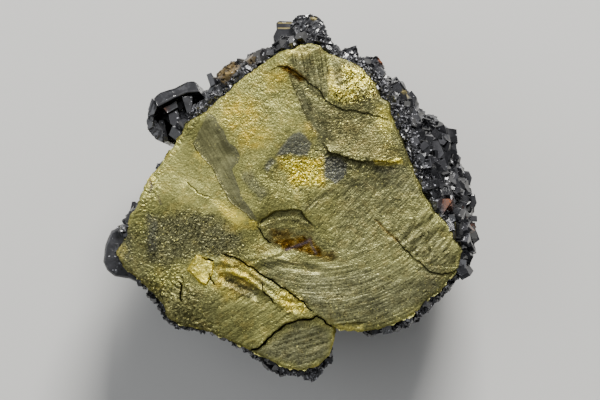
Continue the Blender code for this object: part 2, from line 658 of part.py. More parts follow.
def add_left_crystal(mesh):
    """Widest at its middle, and drawn in towards a flat top and foot."""
    plan = places(LEFT_CRYSTAL["outline"])
    middle = plan.mean(axis=0)
    rings = []
    for level, share in (("low", LEFT_CRYSTAL["shrink"]), ("middle", 1.0),
                         ("high", LEFT_CRYSTAL["shrink"])):
        height = LEFT_CRYSTAL[level] * MM
        rings.append([mesh.verts.new((x, y, height)) for x, y in middle + (plan - middle) * share])
    mesh.faces.new(rings[0])
    mesh.faces.new(rings[-1])
    for lower, upper in zip(rings, rings[1:]):
        flank_faces(mesh, upper, lower)


def largest_body(mesh):
    """Deletes every body but the one with the most faces. Bodies that only meet at a point
    or along an edge count as separate."""
    left = set(mesh.faces)
    bodies = []
    while left:
        body = {left.pop()}
        front = list(body)
        while front:
            for edge in front.pop().edges:
                if len(edge.link_faces) == 2:
                    for face in edge.link_faces:
                        if face in left:
                            left.discard(face)
                            body.add(face)
                            front.append(face)
        bodies.append(body)
    largest = max(bodies, key=len)
    bmesh.ops.delete(mesh, geom=[f for f in mesh.faces if f not in largest], context="FACES")


def in_fixed_order(mesh):
    """The same mesh with its points and faces sorted by place, so that a rebuild matches."""
    ranked = sorted(mesh.verts, key=lambda v: tuple(round(n, 6) for n in v.co))
    for index, vert in enumerate(ranked):
        vert.index = index
    faces = []
    for face in mesh.faces:
        corners = [v.index for v in face.verts]
        first = corners.index(min(corners))
        faces.append(corners[first:] + corners[:first])
    sorted_mesh = bmesh.new()
    verts = [sorted_mesh.verts.new(v.co) for v in ranked]
    for corners in sorted(faces):
        sorted_mesh.faces.new([verts[i] for i in corners])
    sorted_mesh.normal_update()
    mesh.free()
    return sorted_mesh


def facing(a, b, c):
    return (b - a).cross(c - a)


def merge_keeps_surface(spots, faces, around, keep, drop):
    """Whether moving one end of an edge to the other leaves every face near enough as it was."""
    near_keep = {v for f in around[keep] for v in faces[f]}
    near_drop = {v for f in around[drop] for v in faces[f]}
    if len((near_keep & near_drop) - {keep, drop}) != 2:
        return False
    kept = {frozenset(faces[f]) for f in around[keep]}
    for index in around[drop]:
        face = faces[index]
        if keep in face:
            continue
        moved = [keep if v == drop else v for v in face]
        if frozenset(moved) in kept:
            return False
        before = facing(*(spots[v] for v in face))
        after = facing(*(spots[v] for v in moved))
        if min(after.length, before.length) < SLIVER_AREA or after.angle(before) > FLAT_TURN:
            return False
    return True


def merge_points(faces, around, keep, drop):
    for index in around[drop]:
        face = faces[index]
        if keep in face:
            for vert in face:
                if vert != drop:
                    around[vert].discard(index)
            faces[index] = ()
        else:
            faces[index] = tuple(keep if v == drop else v for v in face)
            around[keep].add(index)
    around[drop] = set()


def shed_points(mesh):
    """The same surface without the points that it can do without, still closed."""
    mesh.verts.index_update()
    spots = [v.co.copy() for v in mesh.verts]
    faces = [tuple(v.index for v in f.verts) for f in mesh.faces]
    around = [set() for _ in spots]
    for index, face in enumerate(faces):
        for vert in face:
            around[vert].add(index)
    for _ in range(SHED_ROUNDS):
        for drop, spot in enumerate(spots):
            beside = {v for f in around[drop] for v in faces[f]} - {drop}
            for keep in sorted(beside, key=lambda v: (spots[v] - spot).length_squared):
                if merge_keeps_surface(spots, faces, around, keep, drop):
                    merge_points(faces, around, keep, drop)
                    break
    lighter = bmesh.new()
    verts = {v: lighter.verts.new(spots[v]) for v in sorted({v for f in faces for v in f})}
    for face in faces:
        if face:
            lighter.faces.new([verts[v] for v in face])
    mesh.free()
    return lighter


def grow_crystals(name, tree, cutter):
    """One cluster of crystals, grown together in one solid that fits the lump's flank."""
    crust = CRUSTS[name]
    rng = random.Random(crust["seed"])
    mesh = bmesh.new()
    add_crust(mesh, tree, crust, rng)
    add_blocks(mesh, tree, crust, rng)
    for slab in SLABS.get(name, {}).values():
        add_slab(mesh, *slab)
    if name == LEFT_CRYSTAL["crust"]:
        add_left_crystal(mesh)
    bmesh.ops.recalc_face_normals(mesh, faces=mesh.faces)
    rough_cluster = finish(name, mesh, "black_sphalerite")
    joined = rough_cluster.modifiers.new("join and fit", "BOOLEAN")
    joined.operation = "DIFFERENCE"
    joined.solver = "EXACT"
    joined.use_self = True
    joined.object = cutter
    view = bpy.context.evaluated_depsgraph_get()
    fitted = bmesh.new()
    fitted.from_object(rough_cluster, view)
    bpy.data.objects.remove(rough_cluster, do_unlink=True)
    fitted = in_fixed_order(fitted)
    bmesh.ops.triangulate(fitted, faces=fitted.faces)
    largest_body(fitted)
    return finish(name, shed_points(fitted), "black_sphalerite")


def finish(name, mesh, look):
    data = bpy.data.meshes.new(name)
    mesh.to_mesh(data)
    mesh.free()
    thing = bpy.data.objects.new(name, data)
    bpy.context.scene.collection.objects.link(thing)
    data.materials.append(bpy.data.materials.get(look) or stone(look))
    return thing


def build_specimen():
    clear_scene()
    noise.seed_set(NOISE_SEED)
    lump, face_points = lump_mesh()
    tree = BVHTree.FromBMesh(lump)
    cutter = finish("crystal_clearance", clearance_cutter(lump, face_points), "chalcopyrite")
    finish("chalcopyrite_mass", lump, "chalcopyrite")
    for name in CRUSTS:
        grow_crystals(name, tree, cutter)
    bpy.data.objects.remove(cutter, do_unlink=True)


build_specimen()
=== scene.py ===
# A broken lump of brassy chalcopyrite with black sphalerite crystals grown round its flank.
# It lies on its back on a pale floor, and the camera looks straight down at its broken face.
import itertools
import math
import random
from functools import partial

import bmesh
import bpy
import numpy as np
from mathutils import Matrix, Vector
from mathutils.bvhtree import BVHTree
from mathutils.geometry import delaunay_2d_cdt
from mathutils.kdtree import KDTree


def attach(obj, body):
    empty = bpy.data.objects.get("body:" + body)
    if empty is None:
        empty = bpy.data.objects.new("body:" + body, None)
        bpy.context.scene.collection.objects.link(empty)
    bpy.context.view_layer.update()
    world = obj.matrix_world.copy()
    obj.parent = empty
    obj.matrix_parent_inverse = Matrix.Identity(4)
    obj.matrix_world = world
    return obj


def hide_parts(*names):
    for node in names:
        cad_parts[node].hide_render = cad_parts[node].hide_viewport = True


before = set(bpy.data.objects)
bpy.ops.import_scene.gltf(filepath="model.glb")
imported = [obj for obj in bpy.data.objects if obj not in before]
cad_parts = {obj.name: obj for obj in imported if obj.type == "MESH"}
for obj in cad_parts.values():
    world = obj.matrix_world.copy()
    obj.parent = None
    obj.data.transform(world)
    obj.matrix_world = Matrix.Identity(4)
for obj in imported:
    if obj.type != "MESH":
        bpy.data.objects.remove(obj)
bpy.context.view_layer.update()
print("stage: frame loaded")

# The face is laid out in picture pixels, x to the right and y down, and so are the crystals
mm = 0.001
pixel = 0.0796 / 379          # metres; the specimen is 379 pixels wide
mmPerPixel = pixel / mm
pictureCentre = (292, 199)    # over the middle of the patch that it rests on


def toPlan(spots):            # picture pixels to metres on the floor
    return (np.asarray(spots, float) - pictureCentre) * (pixel, -pixel)


def toPicture(plan):
    return np.asarray(plan, float) / (pixel, -pixel) + pictureCentre


def smooth(t):
    t = np.clip(t, 0.0, 1.0)
    return t * t * (3.0 - 2.0 * t)


def cellRandom(cells, seed):  # a fixed random number from 0 to 1 for each whole-numbered cell
    mixed = np.full(cells.shape[:-1], seed * 668265263, np.int64)
    for axis, prime in zip(range(cells.shape[-1]), (73856093, 19349663, 83492791)):
        mixed = ((mixed ^ (cells[..., axis] * prime)) * 1274126177) & 0xFFFFFFFF
        mixed ^= mixed >> 15
    return (mixed & 0xFFFFFF) / 0xFFFFFF


def noiseAt(spots, size, seed, octaves=1):      # smooth noise from -1 to 1
    total = np.zeros(len(spots))
    for octave in range(octaves):
        scaled = spots / (np.asarray(size) * 0.5 ** octave) + octave * 7.31
        base = np.floor(scaled).astype(np.int64)
        part = smooth(scaled - base)
        value = np.zeros(len(spots))
        for corner in itertools.product((0, 1), repeat=spots.shape[1]):
            share = np.prod(np.where(corner, part, 1.0 - part), axis=1)
            value += share * cellRandom(base + corner, seed + octave)
        total += (value * 2.0 - 1.0) * 0.5 ** octave
    return total / (2.0 - 0.5 ** (octaves - 1))


def facetsAt(spots, size, seed):    # height over little flat facets, each leaning its own way
    scaled = spots / size
    base = np.floor(scaled).astype(np.int64)
    nearest = np.full(len(spots), np.inf)
    height = np.zeros(len(spots))
    count = spots.shape[1]
    for step in itertools.product((-1, 0, 1), repeat=count):
        cell = base + step
        middle = np.stack([cellRandom(cell, seed + 10 * axis) for axis in range(count)], 1)
        lean = np.stack([cellRandom(cell, seed + 5 + 10 * axis) for axis in range(count)], 1)
        gap = scaled - cell - middle
        distance = (gap ** 2).sum(axis=1)
        closer = distance < nearest
        height = np.where(closer, (gap * (lean * 2.0 - 1.0)).sum(axis=1), height)
        nearest = np.where(closer, distance, nearest)
    return height


def offLine(spots, line, closed=False):
    # distance, side (1 right of an open line or inside a closed one, else -1), share along it
    line = np.asarray(line, float)
    ends = np.roll(line, -1, axis=0) if closed else line[1:]
    starts = line if closed else line[:-1]
    lengths = np.linalg.norm(ends - starts, axis=1)
    walked = np.concatenate([[0.0], np.cumsum(lengths)])
    nearest = np.full(len(spots), np.inf)
    ranked = nearest.copy()
    side, along = np.ones(len(spots)), np.zeros(len(spots))
    inside = np.zeros(len(spots), bool)
    for start, end, length, done in zip(starts, ends, lengths, walked):
        run = (end - start) / length
        away = spots - start
        t = np.clip(away @ run, 0.0, length)
        distance = np.hypot(*(away - t[:, None] * run).T)
        cross = run[0] * away[:, 1] - run[1] * away[:, 0]
        rank = distance - np.abs(cross) * 1e-3      # at a corner, the run that faces the spot
        closer = rank < ranked
        side = np.where(closer, np.where(cross > 0, 1.0, -1.0), side)
        along = np.where(closer, (done + t) / walked[-1], along)
        nearest = np.where(closer, distance, nearest)
        ranked = np.where(closer, rank, ranked)
        if closed and start[1] != end[1]:
            spans = (start[1] > spots[:, 1]) != (end[1] > spots[:, 1])
            down = (spots[:, 1] - start[1]) / (end[1] - start[1])
            inside ^= spans & (spots[:, 0] < start[0] + down * (end[0] - start[0]))
    if closed:
        side = np.where(inside, 1.0, -1.0)
    return nearest, side, along


def within(spots, outline, soft):   # 1 inside an outline and 0 outside, over a soft border
    distance, side, _ = offLine(spots, outline, closed=True)
    return smooth(0.5 + distance * side / soft)


def nearLine(spots, line, reach):
    return smooth(1.0 - offLine(spots, line)[0] / reach)


def refineLine(line, step, wander, seed, closed=False):
    # the line with a point about every step pixels, wandering a little between its own points
    line = [np.array(p, float) for p in line]
    ends = line[1:] + line[:1] if closed else line[1:]
    fine = []
    for start, end in zip(line, ends):
        count = max(1, round(np.linalg.norm(end - start) / step))
        across = np.array([start[1] - end[1], end[0] - start[0]]) / np.linalg.norm(end - start)
        for part in range(count):
            t = part / count
            spot = start + (end - start) * t
            swing = noiseAt(spot[None, :], step * 2.5, seed)[0] * math.sin(math.pi * t)
            swing += noiseAt(spot[None, :], step * 0.9, seed + 1)[0] * 0.35
            fine.append(spot + across * swing * wander)
    return np.array(fine if closed else fine + [line[-1]])


# The lump, in mm. Plates: middle and radius in pixels, height over the mean, and its rise to the
# right and down the picture in mm per mm. Seams: the ground on the right of a line drops by
# drop over ramp and comes back over reach; a crack cuts depth down, half to each side.
lump = dict(
    faceHeight=34.0, spacing=0.26, jitter=0.2, halfWidth=180.0,     # the last in pixels
    rimStep=0.42, rimWander=2.2, rimRoll=0.5, rimDrop=0.35,
    seamStep=2.2, seamWander=1.2, plainSeamHalf=0.05, facetHalf=0.12,
    flankRows=44, flankSpread=1.08, flankCentre=17.0, restRadius=16.5,
    flankNoise=(2.6, 0.34), flankFacets=[(1.9, 0.30), (0.9, 0.14)],     # size and height
    rim=[
        (310, 44), (320, 46), (327, 53), (347, 60), (361, 68), (369, 77), (376, 87), (380, 98),
        (388, 103), (390, 118), (393, 124), (401, 142), (409, 161), (417, 180), (423, 195),
        (436, 214), (452, 230), (462, 249), (460, 268), (447, 281), (440, 292), (430, 297),
        (425, 304), (416, 313), (403, 320), (389, 326), (378, 330), (362, 332), (348, 331),
        (336, 329), (332, 325), (334, 340), (329, 356), (318, 367), (302, 371), (284, 368),
        (267, 359), (251, 351), (230, 341), (209, 332), (187, 327), (168, 319), (163, 305),
        (155, 295), (139, 280), (123, 268), (116, 252), (120, 246), (128, 235), (128, 224),
        (130, 215), (138, 205), (139, 200), (144, 190), (147, 180), (152, 174), (163, 161),
        (174, 145), (182, 134), (186, 125), (193, 119), (207, 111), (216, 102), (230, 90),
        (245, 76), (262, 65), (278, 54), (286, 50), (294, 49), (300, 45),
    ],
    plates={
        "upper left plateau": (258, 130, 42, 2.3, 0.03, 0.08),
        "upper left edge": (222, 105, 22, 1.4, 0.12, 0.10),
        "fibrous band": (310, 76, 20, 2.0, -0.16, 0.02),
        "bright corner": (354, 78, 22, 1.2, -0.05, 0.20),
        "olive field": (362, 132, 30, 1.3, -0.06, -0.02),
        "granular field": (310, 180, 32, 1.4, -0.02, 0.05),
        "dish": (360, 220, 40, 0.3, -0.03, 0.01),
        "dish right end": (432, 245, 28, -0.6, -0.10, -0.02),
        "dish lower side": (390, 295, 38, -0.6, -0.08, -0.12),
        "dish foot": (322, 282, 32, 0.0, 0.00, -0.03),
        "lens dip": (285, 232, 18, 0.0, 0.00, -0.04),
        "left plane": (202, 182, 34, 0.4, 0.02, 0.09),
        "dark slope": (182, 238, 32, -0.5, 0.06, -0.22),
        "left end": (140, 245, 20, -1.8, 0.24, -0.14),
        "lower left plane": (245, 300, 32, -0.9, 0.02, -0.10),
        "lower left edge": (205, 322, 20, -2.6, 0.10, -0.34),
        "lower block": (296, 345, 30, -2.2, -0.04, -0.12),
    },
    seams={
        "wedge upper edge": dict(
            line=[(208, 113), (216, 118), (220, 126), (225, 134), (229, 143), (237, 149),
                  (240, 156), (238, 163), (232, 169), (238, 186), (243, 199), (257, 219)],
            drop=1.25, ramp=3.2, reach=5.5),
        "wedge lower edge": dict(
            line=[(255, 221), (250, 218), (238, 208), (230, 202), (227, 196), (218, 181),
                  (211, 166), (203, 159), (197, 151), (193, 144)],
            drop=0.35, ramp=0.2, reach=2.0, depth=0.2, half=0.12),
        "olive field edge": dict(
            line=[(393, 163), (365, 162), (357, 162), (349, 160), (342, 157), (335, 154),
                  (328, 152), (323, 144)],
            drop=-0.9, ramp=0.25, reach=6.0),
        "right ledge": dict(
            line=[(402, 161), (388, 165), (373, 165)], drop=-0.6, ramp=0.3, reach=2.0),
        "plateau ridge": dict(
            line=[(314, 135), (311, 127), (303, 112), (296, 96), (291, 83), (287, 71)],
            drop=0.5, ramp=0.5, reach=6.0),
        "lens upper edge": dict(
            line=[(314, 226), (305, 218), (301, 211), (294, 210), (276, 212), (268, 217),
                  (258, 224)],
            drop=-0.6, ramp=0.3, reach=3.5),
        "lens lower edge": dict(
            line=[(249, 262), (255, 261), (268, 255), (282, 251)],
            drop=-0.5, ramp=0.4, reach=2.5),
        "fold": dict(
            line=[(229, 273), (239, 277), (252, 284), (262, 291)],
            drop=0.4, ramp=0.5, reach=2.0),
        "bottom ledge": dict(
            line=[(334, 324), (342, 323), (354, 322), (366, 321)],
            drop=0.7, ramp=0.3, reach=3.0),
        "main crack": dict(
            line=[(222, 254), (234, 257), (243, 262), (248, 266), (255, 269), (264, 276),
                  (277, 284), (289, 291), (298, 298), (306, 305), (313, 312)],
            drop=0.3, ramp=0.25, reach=6.0, depth=1.2, half=0.15),
        "block crack": dict(
            line=[(332, 326), (326, 324), (322, 319), (317, 316), (313, 319), (300, 320),
                  (291, 323), (282, 327), (274, 333), (267, 340), (259, 348), (250, 351)],
            drop=-1.1, ramp=0.3, reach=9.0, depth=2.4, half=0.2),
        "upper crack": dict(
            line=[(270, 71), (278, 67), (287, 67), (297, 73), (306, 80), (313, 86), (321, 92),
                  (324, 98), (331, 104), (339, 108), (349, 110), (360, 112), (370, 114),
                  (378, 116), (386, 119), (392, 121)],
            drop=0.25, ramp=0.3, reach=4.0, depth=0.4, half=0.08),
        "right crack": dict(
            line=[(396, 240), (401, 245), (410, 254), (415, 259), (426, 268),
                  (431, 272), (441, 274), (448, 273), (460, 270)],
            drop=0.3, ramp=0.3, reach=4.0, depth=0.6, half=0.1),
        "lens left crack": dict(
            line=[(257, 227), (263, 235), (267, 240), (271, 243)],
            drop=0.2, ramp=0.3, reach=3.0, depth=0.5, half=0.14),
        "left plane crack": dict(
            line=[(186, 181), (195, 189), (203, 195), (211, 198)],
            drop=-0.3, ramp=0.3, reach=3.0, depth=0.2, half=0.11),
        "facet crack": dict(
            line=[(209, 273), (211, 280), (215, 285)],
            drop=0.1, ramp=0.3, reach=2.0, depth=0.6, half=0.16),
        "fold crack": dict(
            line=[(262, 283), (263, 291), (270, 297), (275, 304)],
            drop=0.2, ramp=0.3, reach=2.5, depth=0.5, half=0.15),
        "left end crack": dict(
            line=[(180, 283), (181, 290), (180, 297), (182, 302)],
            drop=0.2, ramp=0.3, reach=2.5, depth=0.8, half=0.2),
        "facet gap": dict(
            line=[(202, 258), (206, 260), (213, 261)],
            drop=0.2, ramp=0.2, reach=1.5, depth=0.9, half=0.25),
    },
    facet=[(196, 255), (205, 258), (214, 262), (213, 274), (206, 286), (200, 283), (187, 270)],
    facetRise=0.8,
    folds={                         # line, height and half width
        "fold ridge": ([(227, 271), (234, 272), (240, 276), (247, 277), (252, 282), (258, 285),
                        (263, 291)], 0.42, 0.9),
        "fold valley": ([(222, 277), (228, 282), (236, 284), (243, 289), (251, 291), (256, 296)],
                        -0.5, 1.2),
        "lower ridge": ([(262, 291), (274, 299), (288, 308), (298, 316)], 0.45, 1.5),
        "crack lip": ([(250, 272), (262, 280), (276, 290), (290, 299)], 0.25, 1.0),
        "shelf": ([(214, 262), (222, 262), (232, 265)], 0.4, 1.3),
        "rust streak": ([(376, 220), (384, 229), (391, 236), (397, 241)], -0.12, 0.5),
        "lens brow": ([(262, 221), (276, 215), (294, 214), (304, 218)], -0.35, 1.2),
        "foot ridge": ([(246, 259), (262, 256), (280, 252)], 0.18, 1.0),
        "lower foot ridge": ([(262, 268), (290, 266), (318, 270)], -0.2, 1.4),
    },
)
for number, seam in enumerate(lump["seams"].values()):
    seam["line"] = refineLine(seam["line"], lump["seamStep"], lump["seamWander"], 130 + number * 2)

# Zones of the face where the break left lines: outline, the lines' direction in degrees above
# the right, or the middle that they curve about; how far apart they are in pixels, their
# depth in mm, how many times longer than wide they are, and how strongly they show as streaks
linedZones = {
    "fibres": dict(outline=[(288, 54), (322, 46), (330, 70), (334, 98), (318, 96), (296, 74)],
                   lie=-81, apart=3.0, depth=0.07, long=14, streak=1.5),
    "under the fibres": dict(
        outline=[(291, 83), (318, 98), (330, 118), (332, 146), (318, 142), (303, 112)],
        lie=-78, apart=3.2, depth=0.05, long=8, streak=0.8),
    "bright corner": dict(outline=[(340, 62), (372, 80), (366, 96), (334, 106), (328, 96)],
                          lie=42, apart=3.4, depth=0.2, long=4.5, streak=1.5),
    "dish upper part": dict(
        outline=[(296, 192), (318, 178), (350, 176), (405, 168), (428, 202), (404, 232),
                 (380, 240), (350, 252), (316, 240)],
        lie=47, apart=2.3, depth=0.06, long=6, streak=0.8),
    "dish streaks": dict(
        outline=[(298, 190), (310, 180), (322, 184), (350, 184), (352, 196), (326, 216),
                 (304, 214)],
        lie=44, apart=4.0, depth=0.14, long=4, streak=0.9),
    "dish arcs": dict(
        outline=[(316, 240), (350, 252), (380, 240), (404, 232), (440, 262), (462, 262),
                 (432, 297), (389, 326), (338, 328), (306, 303), (248, 264), (262, 250),
                 (300, 262)],
        about=(317, 140), apart=2.5, depth=0.07, long=13, streak=0.9),
    "dish right end": dict(
        outline=[(396, 242), (410, 218), (428, 206), (452, 230), (462, 249), (460, 266),
                 (432, 268), (412, 256)],
        lie=46, apart=4.6, depth=0.26, long=3.5, streak=1.2),
    "dish left part": dict(
        outline=[(244, 196), (262, 180), (296, 192), (300, 208), (276, 209), (256, 222)],
        lie=-22, apart=3.4, depth=0.05, long=6, streak=0.4),
    "lens": dict(outline=[(258, 226), (276, 213), (302, 214), (316, 232), (300, 248), (272, 248)],
                 lie=24, apart=4.0, depth=0.07, long=4, streak=0.5),
    "wedge": dict(
        outline=[(194, 140), (202, 118), (208, 114), (225, 134), (238, 152), (232, 169),
                 (243, 199), (256, 220), (238, 207), (222, 186), (211, 166)],
        lie=-61, apart=3.2, depth=0.03, long=14, streak=0.6),
    "left plane": dict(
        outline=[(160, 170), (186, 140), (212, 168), (226, 196), (250, 220), (236, 232),
                 (196, 214), (156, 214)],
        lie=-46, apart=4.0, depth=0.02, long=5, streak=0.2),
    "lower left plane": dict(
        outline=[(206, 300), (226, 284), (262, 294), (308, 316), (272, 330), (250, 350),
                 (226, 338)],
        lie=32, apart=3.0, depth=0.05, long=14, streak=0.8),
    "along the main crack": dict(
        outline=[(228, 258), (248, 270), (296, 298), (312, 312), (296, 318), (264, 292),
                 (240, 274), (224, 270)],
        lie=-30, apart=5.0, depth=0.12, long=2.5, streak=0.3),
    "lower block": dict(
        outline=[(252, 352), (270, 342), (284, 330), (316, 322), (334, 332), (330, 356),
                 (304, 370), (270, 360)],
        lie=17, apart=3.4, depth=0.09, long=7, streak=0.9),
}

# Smooth ground: outline and how much of the grain is missing there
smoothZones = [
    (0.9, [(196, 132), (206, 114), (222, 126), (238, 152), (234, 172), (244, 198), (257, 220),
           (240, 208), (222, 184), (208, 162)]),
    (0.75, [(160, 168), (186, 138), (212, 168), (226, 196), (252, 221), (244, 226), (196, 208),
            (158, 208)]),
    (0.5, [(262, 120), (300, 110), (312, 136), (286, 150), (262, 170), (246, 150)]),
    (0.5, [(300, 262), (350, 266), (352, 286), (316, 282)]),
]
# Granular ground: outline, grain size in pixels and how far its facets lean
granularZones = {
    "whole face": ([(90, 0), (500, 0), (500, 400), (90, 400)], 2.2, 0.09),
    "upper left plateau": ([(205, 118), (262, 66), (290, 72), (314, 136), (270, 210),
                            (242, 190)], 2.6, 0.06),
    "bright corner": ([(342, 60), (372, 72), (380, 98), (332, 104)], 3.0, 0.35),
    "between the grey patches": ([(280, 158), (310, 154), (326, 160), (326, 184), (292, 190)],
                                 2.6, 0.36),
    "dark slope": ([(150, 212), (196, 208), (240, 234), (250, 262), (196, 256), (160, 292),
                    (130, 262), (134, 226)], 2.3, 0.34),
    "left edge": ([(186, 122), (196, 122), (166, 176), (150, 220), (128, 262), (112, 250),
                   (128, 210), (160, 150)], 3.4, 0.3),
    "lower left edge": ([(140, 270), (186, 272), (206, 316), (240, 346), (186, 336),
                         (150, 300)], 3.8, 0.45),
    "raised facet": ([(195, 255), (215, 263), (207, 285), (188, 269)], 4.0, 0.2),
    "knobby band": ([(270, 288), (300, 292), (312, 306), (300, 320), (284, 318), (268, 300)],
                    4.2, 0.45),
    "olive field edge": ([(316, 146), (396, 160), (404, 168), (350, 172), (318, 160)], 3.5, 0.36),
}


def linedLie(spots, zone):          # how far along its lines and across them each spot is
    if "about" in zone:
        away = spots - zone["about"]
        radius = np.hypot(*away.T)
        turn = np.arctan2(away[:, 0], away[:, 1])
        along, across = turn * 160.0, radius
    else:
        turn = math.radians(zone["lie"])
        along = spots[:, 0] * math.cos(turn) - spots[:, 1] * math.sin(turn)
        across = spots[:, 0] * math.sin(turn) + spots[:, 1] * math.cos(turn)
    return np.stack([along / zone["long"], across], axis=1) / zone["apart"]


def rightShare(spots, line, distance):
    # how much each spot lies to the right of a line's middle part, fading out past its ends
    runs = np.gradient(line, axis=0)
    runs /= np.linalg.norm(runs, axis=1)[:, None]
    total, weights = np.zeros(len(spots)), np.full(len(spots), 1e-12)
    soft = 0.12 * distance + 0.5
    for number, (point, run) in enumerate(zip(line, runs)):
        away = spots - point
        far = np.hypot(*away.T) + 1e-6
        weight = np.exp((distance - far) / soft)
        end = min(number, len(line) - 1 - number) / (len(line) - 1)
        cross = (run[0] * away[:, 1] - run[1] * away[:, 0]) / far
        total += weight * smooth(end * 7.0) * np.tanh(np.maximum(cross, 0.0) * 4.0)
        weights += weight
    return total / weights


def faceRelief(spots):              # the broken face's height in mm at picture spots
    total, weights = np.zeros(len(spots)), np.full(len(spots), 1e-9)
    for x, y, radius, height, riseRight, riseDown in lump["plates"].values():
        away = spots - (x, y)
        weight = np.exp(-(away ** 2).sum(axis=1) / radius ** 2)
        tilt = (away[:, 0] * riseRight + away[:, 1] * riseDown) * mmPerPixel
        total += weight * (height + tilt)
        weights += weight
    relief = total / weights
    for seam in lump["seams"].values():
        distance, side, along = offLine(spots, seam["line"])
        near = (side > 0) & (distance * mmPerPixel < seam["reach"] * 5.0)
        share = rightShare(spots[near], seam["line"], distance[near])
        distance = distance * mmPerPixel
        fall = smooth(distance[near] / seam["ramp"]) * np.exp(-distance[near] / seam["reach"])
        relief[near] -= seam["drop"] * fall * share
        if "depth" in seam:         # a crack, of uneven width, that thins out at its ends
            half = seam["half"] * (0.95 + 0.6 * noiseAt(spots, 6.0, 55, 2))
            cut = np.clip(1.0 - distance / half, 0.0, 1.0)
            relief -= seam["depth"] * cut * smooth(np.minimum(along, 1.0 - along) * 12.0 + 0.3)
    distance, side, _ = offLine(spots, lump["facet"], closed=True)
    relief += lump["facetRise"] * smooth(distance * side * mmPerPixel / 0.3)
    for line, height, half in lump["folds"].values():
        relief += height * nearLine(spots, line, half / mmPerPixel)
    return lump["faceHeight"] + relief


def fineRelief(spots):              # lines, grains and dents, in mm
    calm = calmAt(spots)
    relief = noiseAt(spots, 9.0, 3, 3) * 0.13 * (1.0 - 0.7 * calm)
    grain, lined = np.zeros(len(spots)), np.zeros(len(spots))
    for number, zone in enumerate(linedZones.values()):
        share = within(spots, zone["outline"], 12.0)
        lines = noiseAt(linedLie(spots, zone), 1.4, 20 + number, 2)
        relief += lines * zone["depth"] * share
        lined = np.maximum(lined, share * min(1.0, zone["streak"]))
    for number, (outline, size, lean) in enumerate(granularZones.values()):
        share = within(spots, outline, 10.0)
        grain += facetsAt(spots, size, 60 + number) * size * pixel / mm * lean * share
    return relief + grain * (1.0 - calm) * (1.0 - 0.45 * lined)


def calmAt(spots):
    calm = np.zeros(len(spots))
    for strength, outline in smoothZones:
        calm = np.maximum(calm, strength * within(spots, outline, 8.0))
    return calm


def faceMesh():
    # the face laid out flat: a fine grid of triangles with the rim, seams and facet cut into it
    spacing = lump["spacing"] * mm / pixel
    rim = refineLine(lump["rim"], lump["rimStep"] * mm / pixel, lump["rimWander"], 1, closed=True)
    spots, edges = [tuple(p) for p in rim], []
    facet = refineLine([*lump["facet"], lump["facet"][0]], 1.6, 0.0, 1)
    cuts = [(seam["line"], seam.get("half", lump["plainSeamHalf"]))
            for seam in lump["seams"].values()]
    for line, half in cuts + [(facet, lump["facetHalf"])]:
        runs = np.gradient(line, axis=0)
        runs /= np.linalg.norm(runs, axis=1)[:, None]
        across = np.stack([runs[:, 1], -runs[:, 0]], axis=1)
        reach = half * mm / pixel
        for chain in (line, line + across * reach, line - across * reach):
            gap, side, _ = offLine(chain, rim, closed=True)
            last = None
            for spot, clear in zip(chain, gap * side > 1.2):    # only where clear of the rim
                if not clear:
                    last = None
                    continue
                spots.append(tuple(spot))
                if last is not None:
                    edges.append((last, len(spots) - 1))
                last = len(spots) - 1
    taken = KDTree(len(spots))
    for number, spot in enumerate(spots):
        taken.insert((*spot, 0.0), number)
    taken.balance()
    rng = random.Random(11)
    middle = rim.mean(axis=0)
    jitter = lump["jitter"]
    reach = int(220 / spacing)
    for row in range(-reach, reach + 1):
        for column in range(-reach, reach + 1):
            spot = middle + np.array([column + 0.5 * (row % 2), row * 0.87]) * spacing
            spot = spot + (rng.uniform(-jitter, jitter) * spacing,
                           rng.uniform(-jitter, jitter) * spacing)
            if (abs(spot[0] - middle[0]) < lump["halfWidth"]
                    and taken.find((*spot, 0.0))[2] > spacing * 0.5):
                spots.append(tuple(spot))
    loop = list(range(len(rim)))
    found = delaunay_2d_cdt([Vector(p) for p in spots], edges, [loop], 0, 1e-5, True)
    faces = [face for face, origin in zip(found[2], found[5]) if list(origin) == [0]]
    return len(rim), np.array([p[:] for p in found[0]]), faces


def flankSpots(rim, rows):
    # rings from the rim down to the resting patch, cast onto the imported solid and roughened
    solid = bmesh.new()
    solid.from_mesh(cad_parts["chalcopyrite_mass"].data)
    bmesh.ops.remove_doubles(solid, verts=solid.verts, dist=1e-6)
    tree = BVHTree.FromBMesh(solid)
    solid.free()
    centre = Vector((0.0, 0.0, lump["flankCentre"] * mm))
    bottom = -math.atan2(centre.z, lump["restRadius"] * mm)
    rings = []
    for row in range(1, rows + 1):
        ring = []
        for vert in rim:
            angle = math.atan2(vert.co.y, vert.co.x)
            top = math.atan2(vert.co.z - centre.z, math.hypot(vert.co.x, vert.co.y))
            tilt = top + (bottom - top) * (row / rows) ** lump["flankSpread"]
            away = Vector((math.cos(angle) * math.cos(tilt), math.sin(angle) * math.cos(tilt),
                           math.sin(tilt)))
            ring.append(tree.ray_cast(centre + away * 0.1, -away)[0][:])
        rings.append(ring)
    flank = np.array(rings)
    outward = flank - (0.0, 0.0, centre.z)
    outward /= np.linalg.norm(outward, axis=2)[:, :, None]
    flat = flank.reshape(-1, 3)
    size, height = lump["flankNoise"]
    rough = noiseAt(flat, size * mm, 5, 3) * height
    for seed, (size, height) in enumerate(lump["flankFacets"], 8):
        rough += facetsAt(flat, size * mm, seed) * height
    fade = smooth(flat[:, 2] / (1.5 * mm)) * smooth((np.arange(len(flat)) // len(rim) + 1) / 3.0)
    flat = flat + outward.reshape(-1, 3) * (rough * fade * mm)[:, None]
    flat[:, 2] = np.maximum(flat[:, 2], 0.0)
    return flat.reshape(flank.shape)


